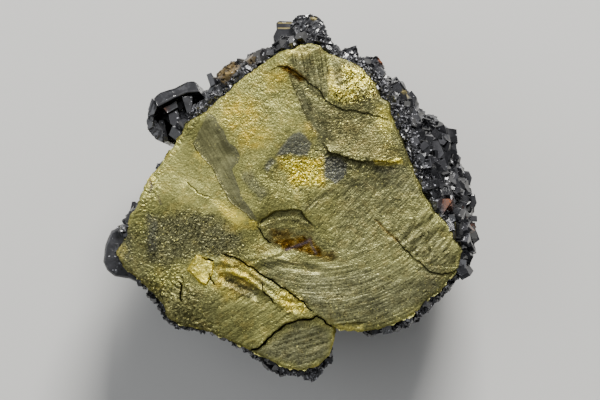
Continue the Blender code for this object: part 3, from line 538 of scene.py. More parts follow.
def buildLump():
    rimCount, spots, faces = faceMesh()
    print("stage: face laid out,", len(faces), "triangles")
    distance, _, _ = offLine(spots, lump["rim"], closed=True)
    roll = 1.0 - smooth(distance * pixel / mm / lump["rimRoll"])
    heights = faceRelief(spots) - lump["rimDrop"] * roll
    heights += fineRelief(spots) * (1.0 - 0.5 * roll)
    mesh = bmesh.new()
    verts = [mesh.verts.new((x, y, z * mm)) for (x, y), z in zip(toPlan(spots), heights)]
    used = {i for face in faces for i in face}
    for face in faces:
        mesh.faces.new([verts[i] for i in face])
    upper = verts[:rimCount]
    for ring in flankSpots(upper, lump["flankRows"]):
        lower = [mesh.verts.new(spot) for spot in ring]
        for i in range(rimCount):
            j = (i + 1) % rimCount
            mesh.faces.new((upper[i], upper[j], lower[j], lower[i]))
        upper = lower
    mesh.faces.new(upper)
    spare = [vert for i, vert in enumerate(verts) if i not in used and i >= rimCount]
    bmesh.ops.delete(mesh, geom=spare, context="VERTS")
    bmesh.ops.triangulate(mesh, faces=mesh.faces, quad_method="SHORT_EDGE")
    bmesh.ops.recalc_face_normals(mesh, faces=mesh.faces)
    return mesh


def makePiece(name, mesh, material):
    data = bpy.data.meshes.new(name)
    mesh.to_mesh(data)
    mesh.free()
    piece = bpy.data.objects.new(name, data)
    bpy.context.scene.collection.objects.link(piece)
    data.materials.append(material)
    return piece


# How light the face is, as painted light and shade for how its plates turn to or from the light:
# middle and radius in pixels and a tone, then sharper patches
paintedShadeTones = {
    "upper gold": (250, 122, 34, 0.81), "upper left edge": (222, 105, 16, 0.95),
    "ridge": (305, 128, 10, 1.05), "fibres": (312, 80, 16, 0.8),
    "bright corner": (354, 78, 16, 0.5), "olive field": (358, 134, 26, 0.45),
    "right edge": (386, 122, 10, 0.9),
    "between the greys": (300, 172, 18, 0.8), "left plane": (188, 180, 30, 0.92),
    "dark slope": (188, 234, 26, 0.98), "left end": (134, 252, 14, 0.54),
    "dish": (360, 212, 34, 0.74), "dish upper left": (270, 190, 20, 0.82),
    "dish low": (362, 286, 34, 1.18), "dish right": (430, 244, 24, 0.92),
    "dish rim": (440, 284, 14, 0.66), "lens": (284, 232, 16, 0.9), "facet": (202, 270, 10, 1.1),
    "lower left plane": (250, 314, 24, 0.76), "knobs": (290, 303, 12, 0.88),
    "block": (296, 346, 26, 1.04), "lower edge": (192, 314, 18, 0.62),
    "bottom rim": (370, 322, 16, 0.72), "along the crack": (236, 268, 14, 0.77),
}
# Sharper patches of painted shade, and a few of painted light
paintedShadePatches = [
    (0.72, 7, [(266, 226), (312, 230), (340, 250), (332, 264), (296, 256), (268, 250)]),
    (0.74, 3, [(331, 58), (345, 63), (345, 80), (339, 89), (333, 78)]),
    (0.76, 4, [(355, 92), (366, 88), (373, 98), (371, 109), (357, 107)]),
    (0.8, 3, [(343, 84), (350, 80), (346, 94), (338, 100)]),
    (0.8, 3, [(116, 226), (127, 222), (130, 238), (121, 242)]),
    (0.92, 4, [(146, 214), (158, 218), (156, 250), (146, 248)]),
    # a painted highlight on the right ledge
    (1.5, 2, [(372, 159), (388, 160), (401, 157), (403, 163), (388, 166), (374, 165)]),
    (0.72, 5, [(288, 70), (292, 84), (297, 96), (304, 112), (312, 127), (318, 138), (332, 140),
               (326, 100), (330, 70), (322, 44), (300, 44), (292, 56)]),
    (0.7, 3, [(323, 147), (335, 157), (349, 164), (365, 166), (393, 167), (396, 174),
              (365, 173), (344, 171), (326, 158)]),
    (0.5, 4, [(224, 276), (231, 279), (239, 283), (248, 287), (257, 293), (259, 298),
              (248, 297), (236, 291), (225, 285)]),
    (0.8, 5, [(262, 222), (284, 212), (300, 213), (312, 228), (290, 222), (270, 228)]),
    (0.75, 5, [(300, 206), (318, 196), (332, 186), (336, 192), (318, 206), (304, 212)]),
    (1.12, 4, [(252, 256), (276, 250), (290, 256), (270, 262), (252, 266)]),
    (0.75, 4, [(262, 264), (280, 258), (312, 262), (330, 268), (312, 272), (280, 270)]),
    (0.8, 6, [(340, 178), (372, 172), (398, 184), (380, 190), (350, 188)]),
]

# Shade beside a seam that fades away from it: side of the line, factor at the line, reach
edgeShades = {
    "wedge upper edge": (1, 0.64, 8.0), "wedge lower edge": (1, 0.85, 3.0),
    "plateau ridge": (1, 0.66, 8.0), "olive field edge": (-1, 0.6, 4.0),
    "lens upper edge": (-1, 0.7, 4.0), "block crack": (-1, 0.8, 3.0), "fold": (1, 0.7, 5.0),
}

# Tints of the face, among them painted shade and painted highlight: outlines or lines in picture
# pixels, each with its strength and softness
faceTints = {
    "gold": [
        (0.75, 16, [(226, 100), (246, 96), (262, 112), (250, 128), (232, 132), (222, 118)]),
        (0.8, 12, [(240, 128), (264, 122), (272, 138), (258, 150), (238, 146)]),
        (0.7, 7, [(304, 122), (312, 122), (316, 136), (308, 137)]),
        (0.7, 14, [(262, 76), (286, 66), (290, 84), (268, 90)]),
        (0.8, 8, [(278, 158), (300, 158), (326, 158), (324, 184), (296, 188), (282, 172)]),
        (0.8, 12, [(222, 258), (246, 262), (262, 276), (244, 296), (226, 300), (212, 286)]),
        (0.6, 12, [(340, 60), (368, 74), (378, 100), (352, 104), (332, 96)]),
        (0.6, 10, [(282, 286), (304, 300), (308, 314), (290, 316), (276, 300)]),
        (0.5, 10, [(372, 140), (398, 148), (404, 164), (376, 162)]),
        (0.5, 14, [(212, 200), (240, 212), (252, 230), (230, 232)]),
        (0.25, 14, [(332, 112), (372, 120), (392, 140), (376, 158), (344, 154), (328, 136)]),
        (0.5, 3, [(192, 270), (206, 274), (206, 286), (199, 284)]),
    ],
    "grey": [
        (0.9, 3, [(276, 156), (281, 147), (287, 140), (293, 133), (299, 132), (307, 136),
                  (312, 144), (310, 150), (307, 155), (299, 156), (291, 154)]),
        (1.0, 4, [(325, 157), (333, 155), (342, 158), (348, 164), (347, 173), (342, 179),
                  (336, 185), (331, 180), (325, 177)]),
        (0.75, 4, [(264, 169), (272, 158), (276, 162), (268, 172)]),
        (0.45, 10, [(374, 166), (402, 164), (418, 184), (424, 200), (398, 194), (378, 180)]),
        (0.5, 6, [(240, 172), (254, 174), (268, 194), (262, 200), (246, 184)]),
        (0.6, 8, [(146, 214), (158, 216), (158, 252), (146, 252)]),
        (0.4, 9, [(348, 86), (360, 84), (376, 98), (366, 104)]),
        (0.35, 10, [(290, 58), (306, 52), (322, 72), (328, 98), (312, 92)]),
        (0.35, 12, [(294, 88), (306, 92), (330, 140), (320, 146), (304, 120)]),
        (0.5, 7, [(116, 236), (132, 232), (132, 262), (118, 258)]),
        (0.3, 12, [(318, 258), (352, 262), (352, 284), (318, 276)]),
        (0.3, 20, [(340, 180), (404, 176), (440, 222), (462, 250), (446, 284), (400, 322),
                   (336, 328), (304, 302), (262, 276), (262, 254), (330, 262)]),
        (0.42, 16, [(404, 258), (446, 262), (440, 290), (392, 320), (336, 328), (306, 304),
                    (264, 276), (262, 262), (330, 272)]),
        (0.48, 12, [(254, 350), (272, 338), (300, 322), (332, 330), (326, 358), (300, 368)]),
        (0.3, 14, [(150, 222), (196, 212), (242, 236), (232, 256), (180, 262), (150, 262)]),
    ],
    "glitter": [
        (1.0, 5, [(343, 64), (352, 67), (374, 80), (376, 98), (350, 104), (332, 102), (330, 86),
                  (340, 90)]),
        (0.4, 7, [(280, 158), (324, 158), (324, 184), (294, 188)]),
        (0.2, 7, [(272, 290), (290, 292), (308, 308), (300, 316), (282, 306)]),
        (0.3, 6, [(376, 104), (388, 110), (398, 150), (384, 150)]),
    ],
    "wedge": [(1.0, 0.5, [*lump["seams"]["wedge upper edge"]["line"],
                          *lump["seams"]["wedge lower edge"]["line"]])],
    # painted shade on slopes and hollows turned from the light, and the band under the right ledge
    "shadeAndDarkGround": [
        (0.75, 12, [(150, 222), (186, 206), (222, 216), (244, 236), (250, 256), (218, 256),
                    (196, 254), (166, 270), (146, 260)]),
        (0.7, 8, [(120, 262), (150, 280), (176, 300), (200, 322), (240, 344), (240, 350),
                  (160, 318)]),
        (0.8, 5, [(226, 278), (236, 284), (254, 296), (250, 300), (232, 292)]),
        (0.4, 14, [(300, 262), (350, 270), (400, 280), (440, 276), (430, 300), (380, 326),
                   (330, 322), (306, 300)]),
        (0.5, 8, [(372, 166), (394, 166), (396, 173), (374, 174)]),
        (0.5, 8, [(256, 226), (276, 214), (302, 216), (314, 232), (296, 246), (270, 246)]),
        (0.4, 12, [(252, 352), (300, 326), (332, 330), (326, 356), (300, 368), (268, 360)]),
        (0.5, 8, [(180, 272), (196, 280), (206, 298), (190, 312), (172, 296)]),
        (0.45, 10, [(396, 240), (412, 220), (444, 240), (458, 262), (430, 266)]),
        (0.45, 10, [(332, 108), (366, 116), (360, 146), (330, 140)]),
    ],
    # painted highlights on ledges, ridges, the raised facet and glittering ground
    "bright": [
        (1.0, 5, [(343, 66), (352, 68), (372, 80), (362, 88), (350, 96), (340, 98), (350, 84)]),
        (0.8, 4, [(329, 70), (335, 84), (336, 96), (330, 96), (329, 84)]),
        (1.0, 2, [(373, 160), (388, 160), (401, 158), (403, 163), (388, 165), (375, 165)]),
        (1.0, 1.5, lump["facet"]),
        (0.8, 3, [(230, 270), (242, 274), (256, 282), (263, 290), (256, 289), (243, 280),
                  (231, 275)]),
        (1.0, 1.5, [(248, 219), (253, 220), (257, 222), (258, 229), (253, 230), (250, 226)]),
        (0.8, 1.5, [(196, 151), (199, 152), (202, 159), (200, 160)]),
        (0.3, 7, [(272, 290), (290, 292), (308, 308), (300, 316), (282, 306)]),
        (0.5, 8, [(376, 104), (388, 110), (392, 132), (380, 130)]),
        (0.9, 3, [(328, 66), (334, 68), (336, 84), (342, 92), (350, 98), (344, 105), (332, 96),
                  (328, 84)]),
        (0.7, 3, [(117, 245), (124, 243), (128, 250), (122, 260), (116, 257)]),
        (0.5, 4, [(147, 176), (152, 173), (156, 178), (150, 186)]),
        (0.35, 6, [(282, 160), (322, 160), (322, 182), (296, 186)]),
        (0.5, 6, [(302, 62), (312, 50), (300, 46), (286, 52)]),
        (0.5, 3, [(196, 152), (206, 162), (204, 166), (194, 156)]),
        (0.45, 10, [(216, 198), (236, 208), (250, 220), (238, 226), (222, 214)]),
        (0.5, 5, [(334, 326), (342, 324), (364, 325), (364, 331), (340, 330)]),
    ],
    "rust": [
        (1.0, 5, [(272, 242), (290, 236), (312, 236), (320, 248), (322, 258), (310, 256),
                  (298, 250), (282, 250)]),
        (0.75, 6, [(270, 228), (288, 230), (296, 238), (282, 244), (270, 242)]),
        (0.7, 5, [(316, 250), (334, 250), (338, 258), (326, 262), (316, 258)]),
        (0.95, 3.5, [(278, 66), (290, 65), (300, 72), (308, 80), (300, 82), (291, 74), (282, 70)]),
        (0.75, 3, [(374, 219), (379, 221), (392, 234), (400, 241), (396, 242), (384, 232)]),
        (0.5, 5, [(222, 256), (232, 258), (244, 264), (238, 268), (226, 264)]),
        (0.5, 6, [(250, 242), (266, 244), (272, 252), (258, 254)]),
    ],
}
flankTints = {"grey": 0.35, "shadeAndDarkGround": 0.5}     # the flank has these two all over, and one tone
flankTone = 0.66
faceFrom, faceFade, faceWobble = 28.0, 1.5, 4.0     # height and fade in mm, wobble in pixels
faceLines = {                       # strength, reach in pixels and line
    "purple": [(1.0, 2.2, [(286, 250), (296, 246), (307, 242), (310, 239)]),
               (1.0, 2.0, [(310, 240), (312, 246), (316, 253)]),
               (0.9, 2.6, [(150, 181), (152, 186), (150, 192)]),
               (0.7, 2.0, [(158, 196), (161, 204)])],
    # the first line below is a painted shadow under the olive field's edge
    "crack": [(0.9, 1.4, lump["seams"]["olive field edge"]["line"][14:]),
              (0.8, 1.1, [(426, 268), (431, 272), (441, 274), (448, 273), (458, 270)]),
              # a painted shadow line under the right ledge
              (0.9, 1.5, [(376, 168), (386, 168), (399, 168)]),
              (0.5, 0.9, [(273, 127), (279, 130), (287, 131)]),
              (0.4, 0.9, [(276, 133), (282, 135)]),
              (0.4, 0.8, [(262, 168), (272, 160), (277, 157)]),
              (0.5, 0.9, [(188, 122), (194, 115), (202, 111)]),
              (0.5, 0.9, [(192, 126), (197, 120)]),
              (0.7, 1.2, [(409, 255), (417, 247)]),
              (0.6, 1.4, [(380, 180), (392, 178)]),
              (0.6, 1.4, [(392, 198), (400, 200)])],
}
darkSeams = [                       # seams that show as cracks too: strength and reach
    ("main crack", 1.0, 1.15), ("block crack", 1.0, 1.2), ("upper crack", 0.6, 0.9),
    ("right crack", 0.5, 0.8), ("lens upper edge", 0.9, 1.3), ("lens left crack", 0.9, 1.1),
    ("wedge lower edge", 0.7, 1.1), ("left plane crack", 0.4, 0.9), ("facet crack", 0.9, 1.2),
    ("fold crack", 0.9, 1.2), ("left end crack", 0.9, 1.3), ("facet gap", 1.0, 1.6)]
faceLines["crack"] += [(strength, reach, lump["seams"][name]["line"])
                       for name, strength, reach in darkSeams]


def addAttribute(piece, name, values, kind="FLOAT"):
    attribute = piece.data.attributes.new(name, kind, "POINT")
    field = "vector" if kind == "FLOAT_VECTOR" else "value"
    attribute.data.foreach_set(field, np.asarray(values, np.float32).ravel())


def vertexPlaces(piece):
    places = np.zeros(len(piece.data.vertices) * 3, np.float32)
    piece.data.vertices.foreach_get("co", places)
    return places.reshape(-1, 3).astype(float)


def tintFace(piece):                # writes the masks that the brass material reads
    places = vertexPlaces(piece)
    spots = toPicture(places[:, :2])
    onFace = smooth((places[:, 2] / mm - faceFrom) / faceFade)
    wobble = faceWobble * np.stack(
        [noiseAt(spots, 7.0, 71, 3), noiseAt(spots, 7.0, 75, 3)], axis=1)
    for name, patches in faceTints.items():
        mask = np.zeros(len(spots))
        for strength, soft, outline in patches:
            moved = spots + wobble * smooth((soft - 1.0) / 6.0)    # sharp ones keep their outline
            mask = np.maximum(mask, strength * within(moved, outline, soft))
        addAttribute(piece, name, mask * onFace + flankTints.get(name, 0.0) * (1.0 - onFace))
    for name, lines in faceLines.items():
        mask = np.zeros(len(spots))
        for strength, reach, line in lines:
            mask = np.maximum(mask, strength * nearLine(spots, line, reach))
        mask *= 0.8 + 0.5 * noiseAt(spots, 8.0, 79, 2)
        addAttribute(piece, name, np.clip(mask, 0.0, 1.0) * onFace)
    # the painted light and shade: zones, sharper patches and shade beside seams
    total, weights = np.zeros(len(spots)), np.full(len(spots), 1e-9)
    for x, y, radius, shadeTone in paintedShadeTones.values():
        weight = np.exp(-((spots + wobble - (x, y)) ** 2).sum(axis=1) / radius ** 2)
        total += weight * shadeTone
        weights += weight
    shadeTones = total / weights
    for factor, soft, outline in paintedShadePatches:
        shadeTones *= 1.0 + (factor - 1.0) * within(spots + wobble * 0.25, outline, soft)
    for name, (lee, factor, reach) in edgeShades.items():
        distance, side, along = offLine(spots, lump["seams"][name]["line"])
        shade = np.exp(-distance / reach) * smooth(np.minimum(along, 1.0 - along) * 12.0)
        shadeTones *= 1.0 - (1.0 - factor) * shade * (side == lee)
    addAttribute(piece, "shadeTone", flankTone + (shadeTones - flankTone) * onFace)
    lie = spots / 3.0
    lined = np.zeros(len(spots))
    for number, zone in enumerate(linedZones.values()):
        share = within(spots + wobble, zone["outline"], 7.0)
        lie = np.where((share > 0.5)[:, None], linedLie(spots, zone) + number * 37.0, lie)
        lined = np.where(share > 0.5, zone["streak"] * (share * 2.0 - 1.0), lined)
    addAttribute(piece, "lined", lined * onFace)
    addAttribute(piece, "calm", calmAt(spots) * onFace)
    addAttribute(piece, "lie", np.column_stack([lie, places[:, 2] * 0.0]), "FLOAT_VECTOR")


# Shader nodes
def addNode(tree, kind, inputs=None, **settings):
    node = tree.nodes.new(kind)
    for name, value in settings.items():
        setattr(node, name, value)
    for name, value in (inputs or {}).items():
        if isinstance(value, bpy.types.NodeSocket):
            tree.links.new(value, node.inputs[name])
        else:
            node.inputs[name].default_value = value
    return node


def sums(tree, operation, a, b):
    return addNode(tree, "ShaderNodeMath", {0: a, 1: b}, operation=operation).outputs[0]


def spread(tree, value, low, high, toLow, toHigh):
    return addNode(tree, "ShaderNodeMapRange", {
        "Value": value, "From Min": low, "From Max": high, "To Min": toLow, "To Max": toHigh,
    }).outputs[0]


def blend(tree, share, a, b, how="MIX"):
    node = addNode(tree, "ShaderNodeMix", {0: share, 6: a, 7: b}, data_type="RGBA", blend_type=how)
    return node.outputs[2]


def readMask(tree, name):
    return addNode(tree, "ShaderNodeAttribute", attribute_name=name).outputs["Fac"]


def nodeWords(tree):                # times, plus, minus, ranged, mix and mask, tied to one tree
    return [partial(helper, tree, *kind) for helper, *kind in (
        (sums, "MULTIPLY"), (sums, "ADD"), (sums, "SUBTRACT"), (spread,), (blend,), (readMask,))]


def noiseNode(tree, spot, scale, detail):
    node = addNode(tree, "ShaderNodeTexNoise", {"Vector": spot, "Scale": scale, "Detail": detail})
    return node.outputs["Fac"]


def cellNode(tree, spot, scale):    # distance to a cell's middle, and the cell's random numbers
    cells = addNode(tree, "ShaderNodeTexVoronoi", {"Vector": spot, "Scale": scale})
    own = addNode(tree, "ShaderNodeSeparateColor", {"Color": cells.outputs["Color"]})
    return cells.outputs["Distance"], own.outputs


def startMaterial(name):
    material = bpy.data.materials.new(name)
    material.use_nodes = True
    return material, material.node_tree, material.node_tree.nodes["Principled BSDF"]


def linkShader(tree, shader, colour, roughness, height, strength):
    bump = addNode(tree, "ShaderNodeBump", {        # 0.08 mm deep
        "Height": height, "Strength": strength, "Distance": 0.08 * mm})
    tree.links.new(colour, shader.inputs["Base Color"])
    tree.links.new(roughness, shader.inputs["Roughness"])
    tree.links.new(bump.outputs["Normal"], shader.inputs["Normal"])


def sRgb(red, green, blue):         # a picture colour as the linear one that a shader takes
    return (*(((c / 255 + 0.055) / 1.055) ** 2.4 if c > 10 else c / 255 / 12.92
              for c in (red, green, blue)), 1.0)


brassLook = dict(
    # the bright colour is a painted highlight; the dim one is painted shade on the face and a
    # darker ground on the flank
    olive=sRgb(136, 135, 76), pale=sRgb(168, 166, 94), gold=sRgb(198, 172, 70),
    wedge=sRgb(142, 140, 96), grey=sRgb(95, 97, 97), shadeAndDarkGround=sRgb(88, 85, 56),
    bright=sRgb(234, 216, 84), glint=sRgb(255, 248, 140), rust=sRgb(98, 72, 10),
    deepRust=sRgb(52, 34, 10), purple=sRgb(78, 68, 74), crack=sRgb(16, 14, 10), metallic=0.85,
    broad=170.0, patchy=560.0, fine=3400.0, streaks=1.25, clumps=1900.0, grains=4600.0,  # scales
    grainShade=0.34, streakShade=(-0.42, 0.34), gapShade=-0.42, pitShade=(-0.7, 0.3),
    flashFrom=0.99, flash=0.85, roughness=(0.34, 0.56), bump=0.7,
)


def brassMaterial():
    look = brassLook
    material, tree, shader = startMaterial("chalcopyriteBrass")
    times, plus, minus, ranged, mix, mask = nodeWords(tree)
    spot = addNode(tree, "ShaderNodeTexCoord").outputs["Object"]
    lie = addNode(tree, "ShaderNodeAttribute", attribute_name="lie").outputs["Vector"]
    lined, glitter, shadeTone = mask("lined"), mask("glitter"), mask("shadeTone")
    rough = times(minus(1.0, times(mask("calm"), 0.7)), ranged(lined, 0.0, 1.0, 1.0, 0.65))
    broad = noiseNode(tree, spot, look["broad"], 5.0)
    patchy = noiseNode(tree, spot, look["patchy"], 4.0)
    fine = noiseNode(tree, spot, look["fine"], 2.0)
    streaks = noiseNode(tree, lie, look["streaks"], 3.0)
    grainGap, grain = cellNode(tree, spot, look["grains"])
    clumpGap, clump = cellNode(tree, spot, look["clumps"])
    colour = mix(ranged(broad, 0.36, 0.64, 0.0, 1.0), look["olive"], look["pale"])
    colour = mix(ranged(patchy, 0.5, 0.75, 0.0, 0.3), colour, look["gold"])
    # each tint lies over the last one, as strong as its mask and broken up by noise; the dim
    # tint is painted shade on the face, and the bright one painted highlight
    greyed = times(mask("grey"), ranged(fine, 0.3, 0.7, 1.0, 0.7))
    for tint, share in (
            ("gold", times(mask("gold"), ranged(patchy, 0.4, 0.62, 0.3, 0.95))),
            ("shadeAndDarkGround", times(mask("shadeAndDarkGround"), ranged(patchy, 0.3, 0.7, 1.0, 0.5))),
            ("wedge", times(mask("wedge"), 0.95)), ("grey", greyed),
            ("bright", times(mask("bright"), ranged(clump[1], 0.1, 0.6, 0.35, 1.0)))):
        colour = mix(share, colour, look[tint])
    # light and dark grains, and along the lined zones light and dark streaks
    shade = ranged(grain[0], 0.0, 1.0, -look["grainShade"], look["grainShade"])
    shade = plus(shade, ranged(clump[0], 0.0, 1.0, -0.12, 0.12))
    shade = times(plus(shade, ranged(fine, 0.3, 0.7, -0.12, 0.12)), rough)
    shade = plus(shade, times(ranged(streaks, 0.38, 0.62, *look["streakShade"]), lined))
    # painted shade in the gaps where it glitters, and pits on the ground of painted shade
    shade = plus(shade, times(ranged(clump[2], 0.3, 0.5, look["gapShade"], 0.0), glitter))
    pits = ranged(plus(clump[1], grain[1]), 0.5, 1.0, *look["pitShade"])
    # the grain shading is multiplied by the face's painted light and shade
    shade = times(plus(plus(shade, times(pits, mask("shadeAndDarkGround"))), 1.0), shadeTone)
    level = addNode(tree, "ShaderNodeCombineColor", {0: shade, 1: shade, 2: shade})
    colour = mix(1.0, colour, level.outputs[0], "MULTIPLY")
    purity = plus(ranged(shadeTone, 0.4, 0.8, 0.78, 0.95), times(mask("gold"), 0.1))
    colour = addNode(tree, "ShaderNodeHueSaturation", {
        "Color": colour, "Saturation": plus(purity, times(glitter, 0.13))}).outputs[0]
    # a few grains flash, more of them where the face glitters and hardly any on the grey ground
    flash = sums(tree, "GREATER_THAN", grain[1], minus(look["flashFrom"], times(glitter, 0.3)))
    flash = times(times(flash, rough), ranged(greyed, 0.2, 0.8, 1.0, 0.1))
    colour = mix(times(flash, look["flash"]), colour, look["glint"])
    rusty = mix(ranged(patchy, 0.42, 0.58, 0.0, 1.0), look["rust"], look["deepRust"])
    colour = mix(times(mask("rust"), ranged(patchy, 0.3, 0.55, 0.5, 1.1)), colour, rusty)
    for tint in ("purple", "crack"):
        colour = mix(mask(tint), colour, look[tint])
    shader.inputs["Metallic"].default_value = look["metallic"]
    shader.inputs["Specular Tint"].default_value = look["bright"]
    roughness = minus(ranged(grain[2], 0.0, 1.0, *look["roughness"]), times(glitter, 0.12))
    height = plus(times(grainGap, -1.2), times(clumpGap, -1.6))
    height = plus(times(plus(height, fine), rough), times(times(streaks, lined), 2.2))
    linkShader(tree, shader, colour, roughness, height, look["bump"])
    return material


brassyLump = makePiece("brassy_lump", buildLump(), brassMaterial())
tintFace(brassyLump)
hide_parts("chalcopyrite_mass")
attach(brassyLump, "root")
lumpTree = BVHTree.FromPolygons(
    [v.co for v in brassyLump.data.vertices], [p.vertices[:] for p in brassyLump.data.polygons])
print("stage: lump made")


# The crystals. Each crust: by the angle round the lump in degrees its lowest and highest edge,
# its thickness and its crystals' mean width, in mm; then how closely the crystals stand.
crusts = {
    "main_crystals": dict(
        solid="main_crystal_crust", seed=5, perSquareMm=0.8, apart=0.85,
        profile=[(-60, 10.0, 29.5, 1.2, 1.6), (-42, 8.0, 31.5, 1.3, 1.7),
                 (-25, 7.0, 31.8, 1.4, 2.0), (-10, 6.0, 32.0, 2.0, 2.5),
                 (20, 5.0, 32.6, 2.2, 2.7), (50, 6.5, 33.0, 2.0, 2.3), (72, 8.0, 33.2, 1.6, 2.0),
                 (98, 9.0, 33.0, 1.6, 2.0), (125, 8.0, 32.8, 1.6, 2.3),
                 (151, 12.0, 31.0, 1.4, 2.0)]),
    "lower_left_crystals": dict(
        solid="lower_left_crystal_crust", seed=8, perSquareMm=1.1, apart=0.72,
        profile=[(-177, 13.0, 26.0, 1.4, 1.4), (-162, 8.0, 28.0, 1.4, 1.4),
                 (-146, 7.0, 28.4, 1.2, 1.2), (-115, 6.5, 28.2, 1.2, 1.1),
                 (-95, 6.5, 29.2, 1.5, 1.4), (-77, 11.0, 29.0, 1.4, 1.4)]),
    "small_left_crystals": dict(
        solid="small_left_crystal", seed=10, perSquareMm=1.1, apart=0.7,
        profile=[(166, 20.0, 29.5, 1.3, 1.5), (173, 20.0, 30.0, 1.3, 1.5)]),
}
# The sheet under the crystals, in mm: its mesh, how deep it is rooted, and its swellings, each
# with a size and a height that lumps multiplies
crustSheet = dict(
    step=0.55, radius=36.0, root=0.9, lumps=0.75, noise=(2.4, 0.7),
    facets=[(1.5, 1.0), (0.75, 0.45)], granuleSize=0.42, granulesPerSquareMm=9.0,
    crushedFrom=20.0, crushedFade=4.0, stainedFrom=17.0, stainedFade=5.0)   # heights
growth = dict(                      # sizes as shares of the mean, leans in radians
    crystalSizes=(0.55, 1.35), crystalLean=0.95, granuleSizes=(0.5, 1.6), granuleLean=1.5,
    granuleLift=0.4, stretch=((0.75, 0.75, 0.75), (1.25, 1.25, 1.35)))
# How the large crystals are cut, in mm: the longest edge on rough and on plain faces as far as
# fineDepth under the top, and how many times longer it is below; then the size and height of
# the steps and facets that break up their faces
crystalCut = dict(
    # the second depth is the fine cut for crystals with painted yellow highlight lines
    bevel=0.09, roughEdge=0.66, plainEdge=1.1, fineDepth=3.0, glintLineDepth=1.0, below=3.0,
    # the large crystals' grey share is partly a painted sheen
    facets=[(1.1, 1.6), (0.6, 0.9)], greySheenShare=0.8)
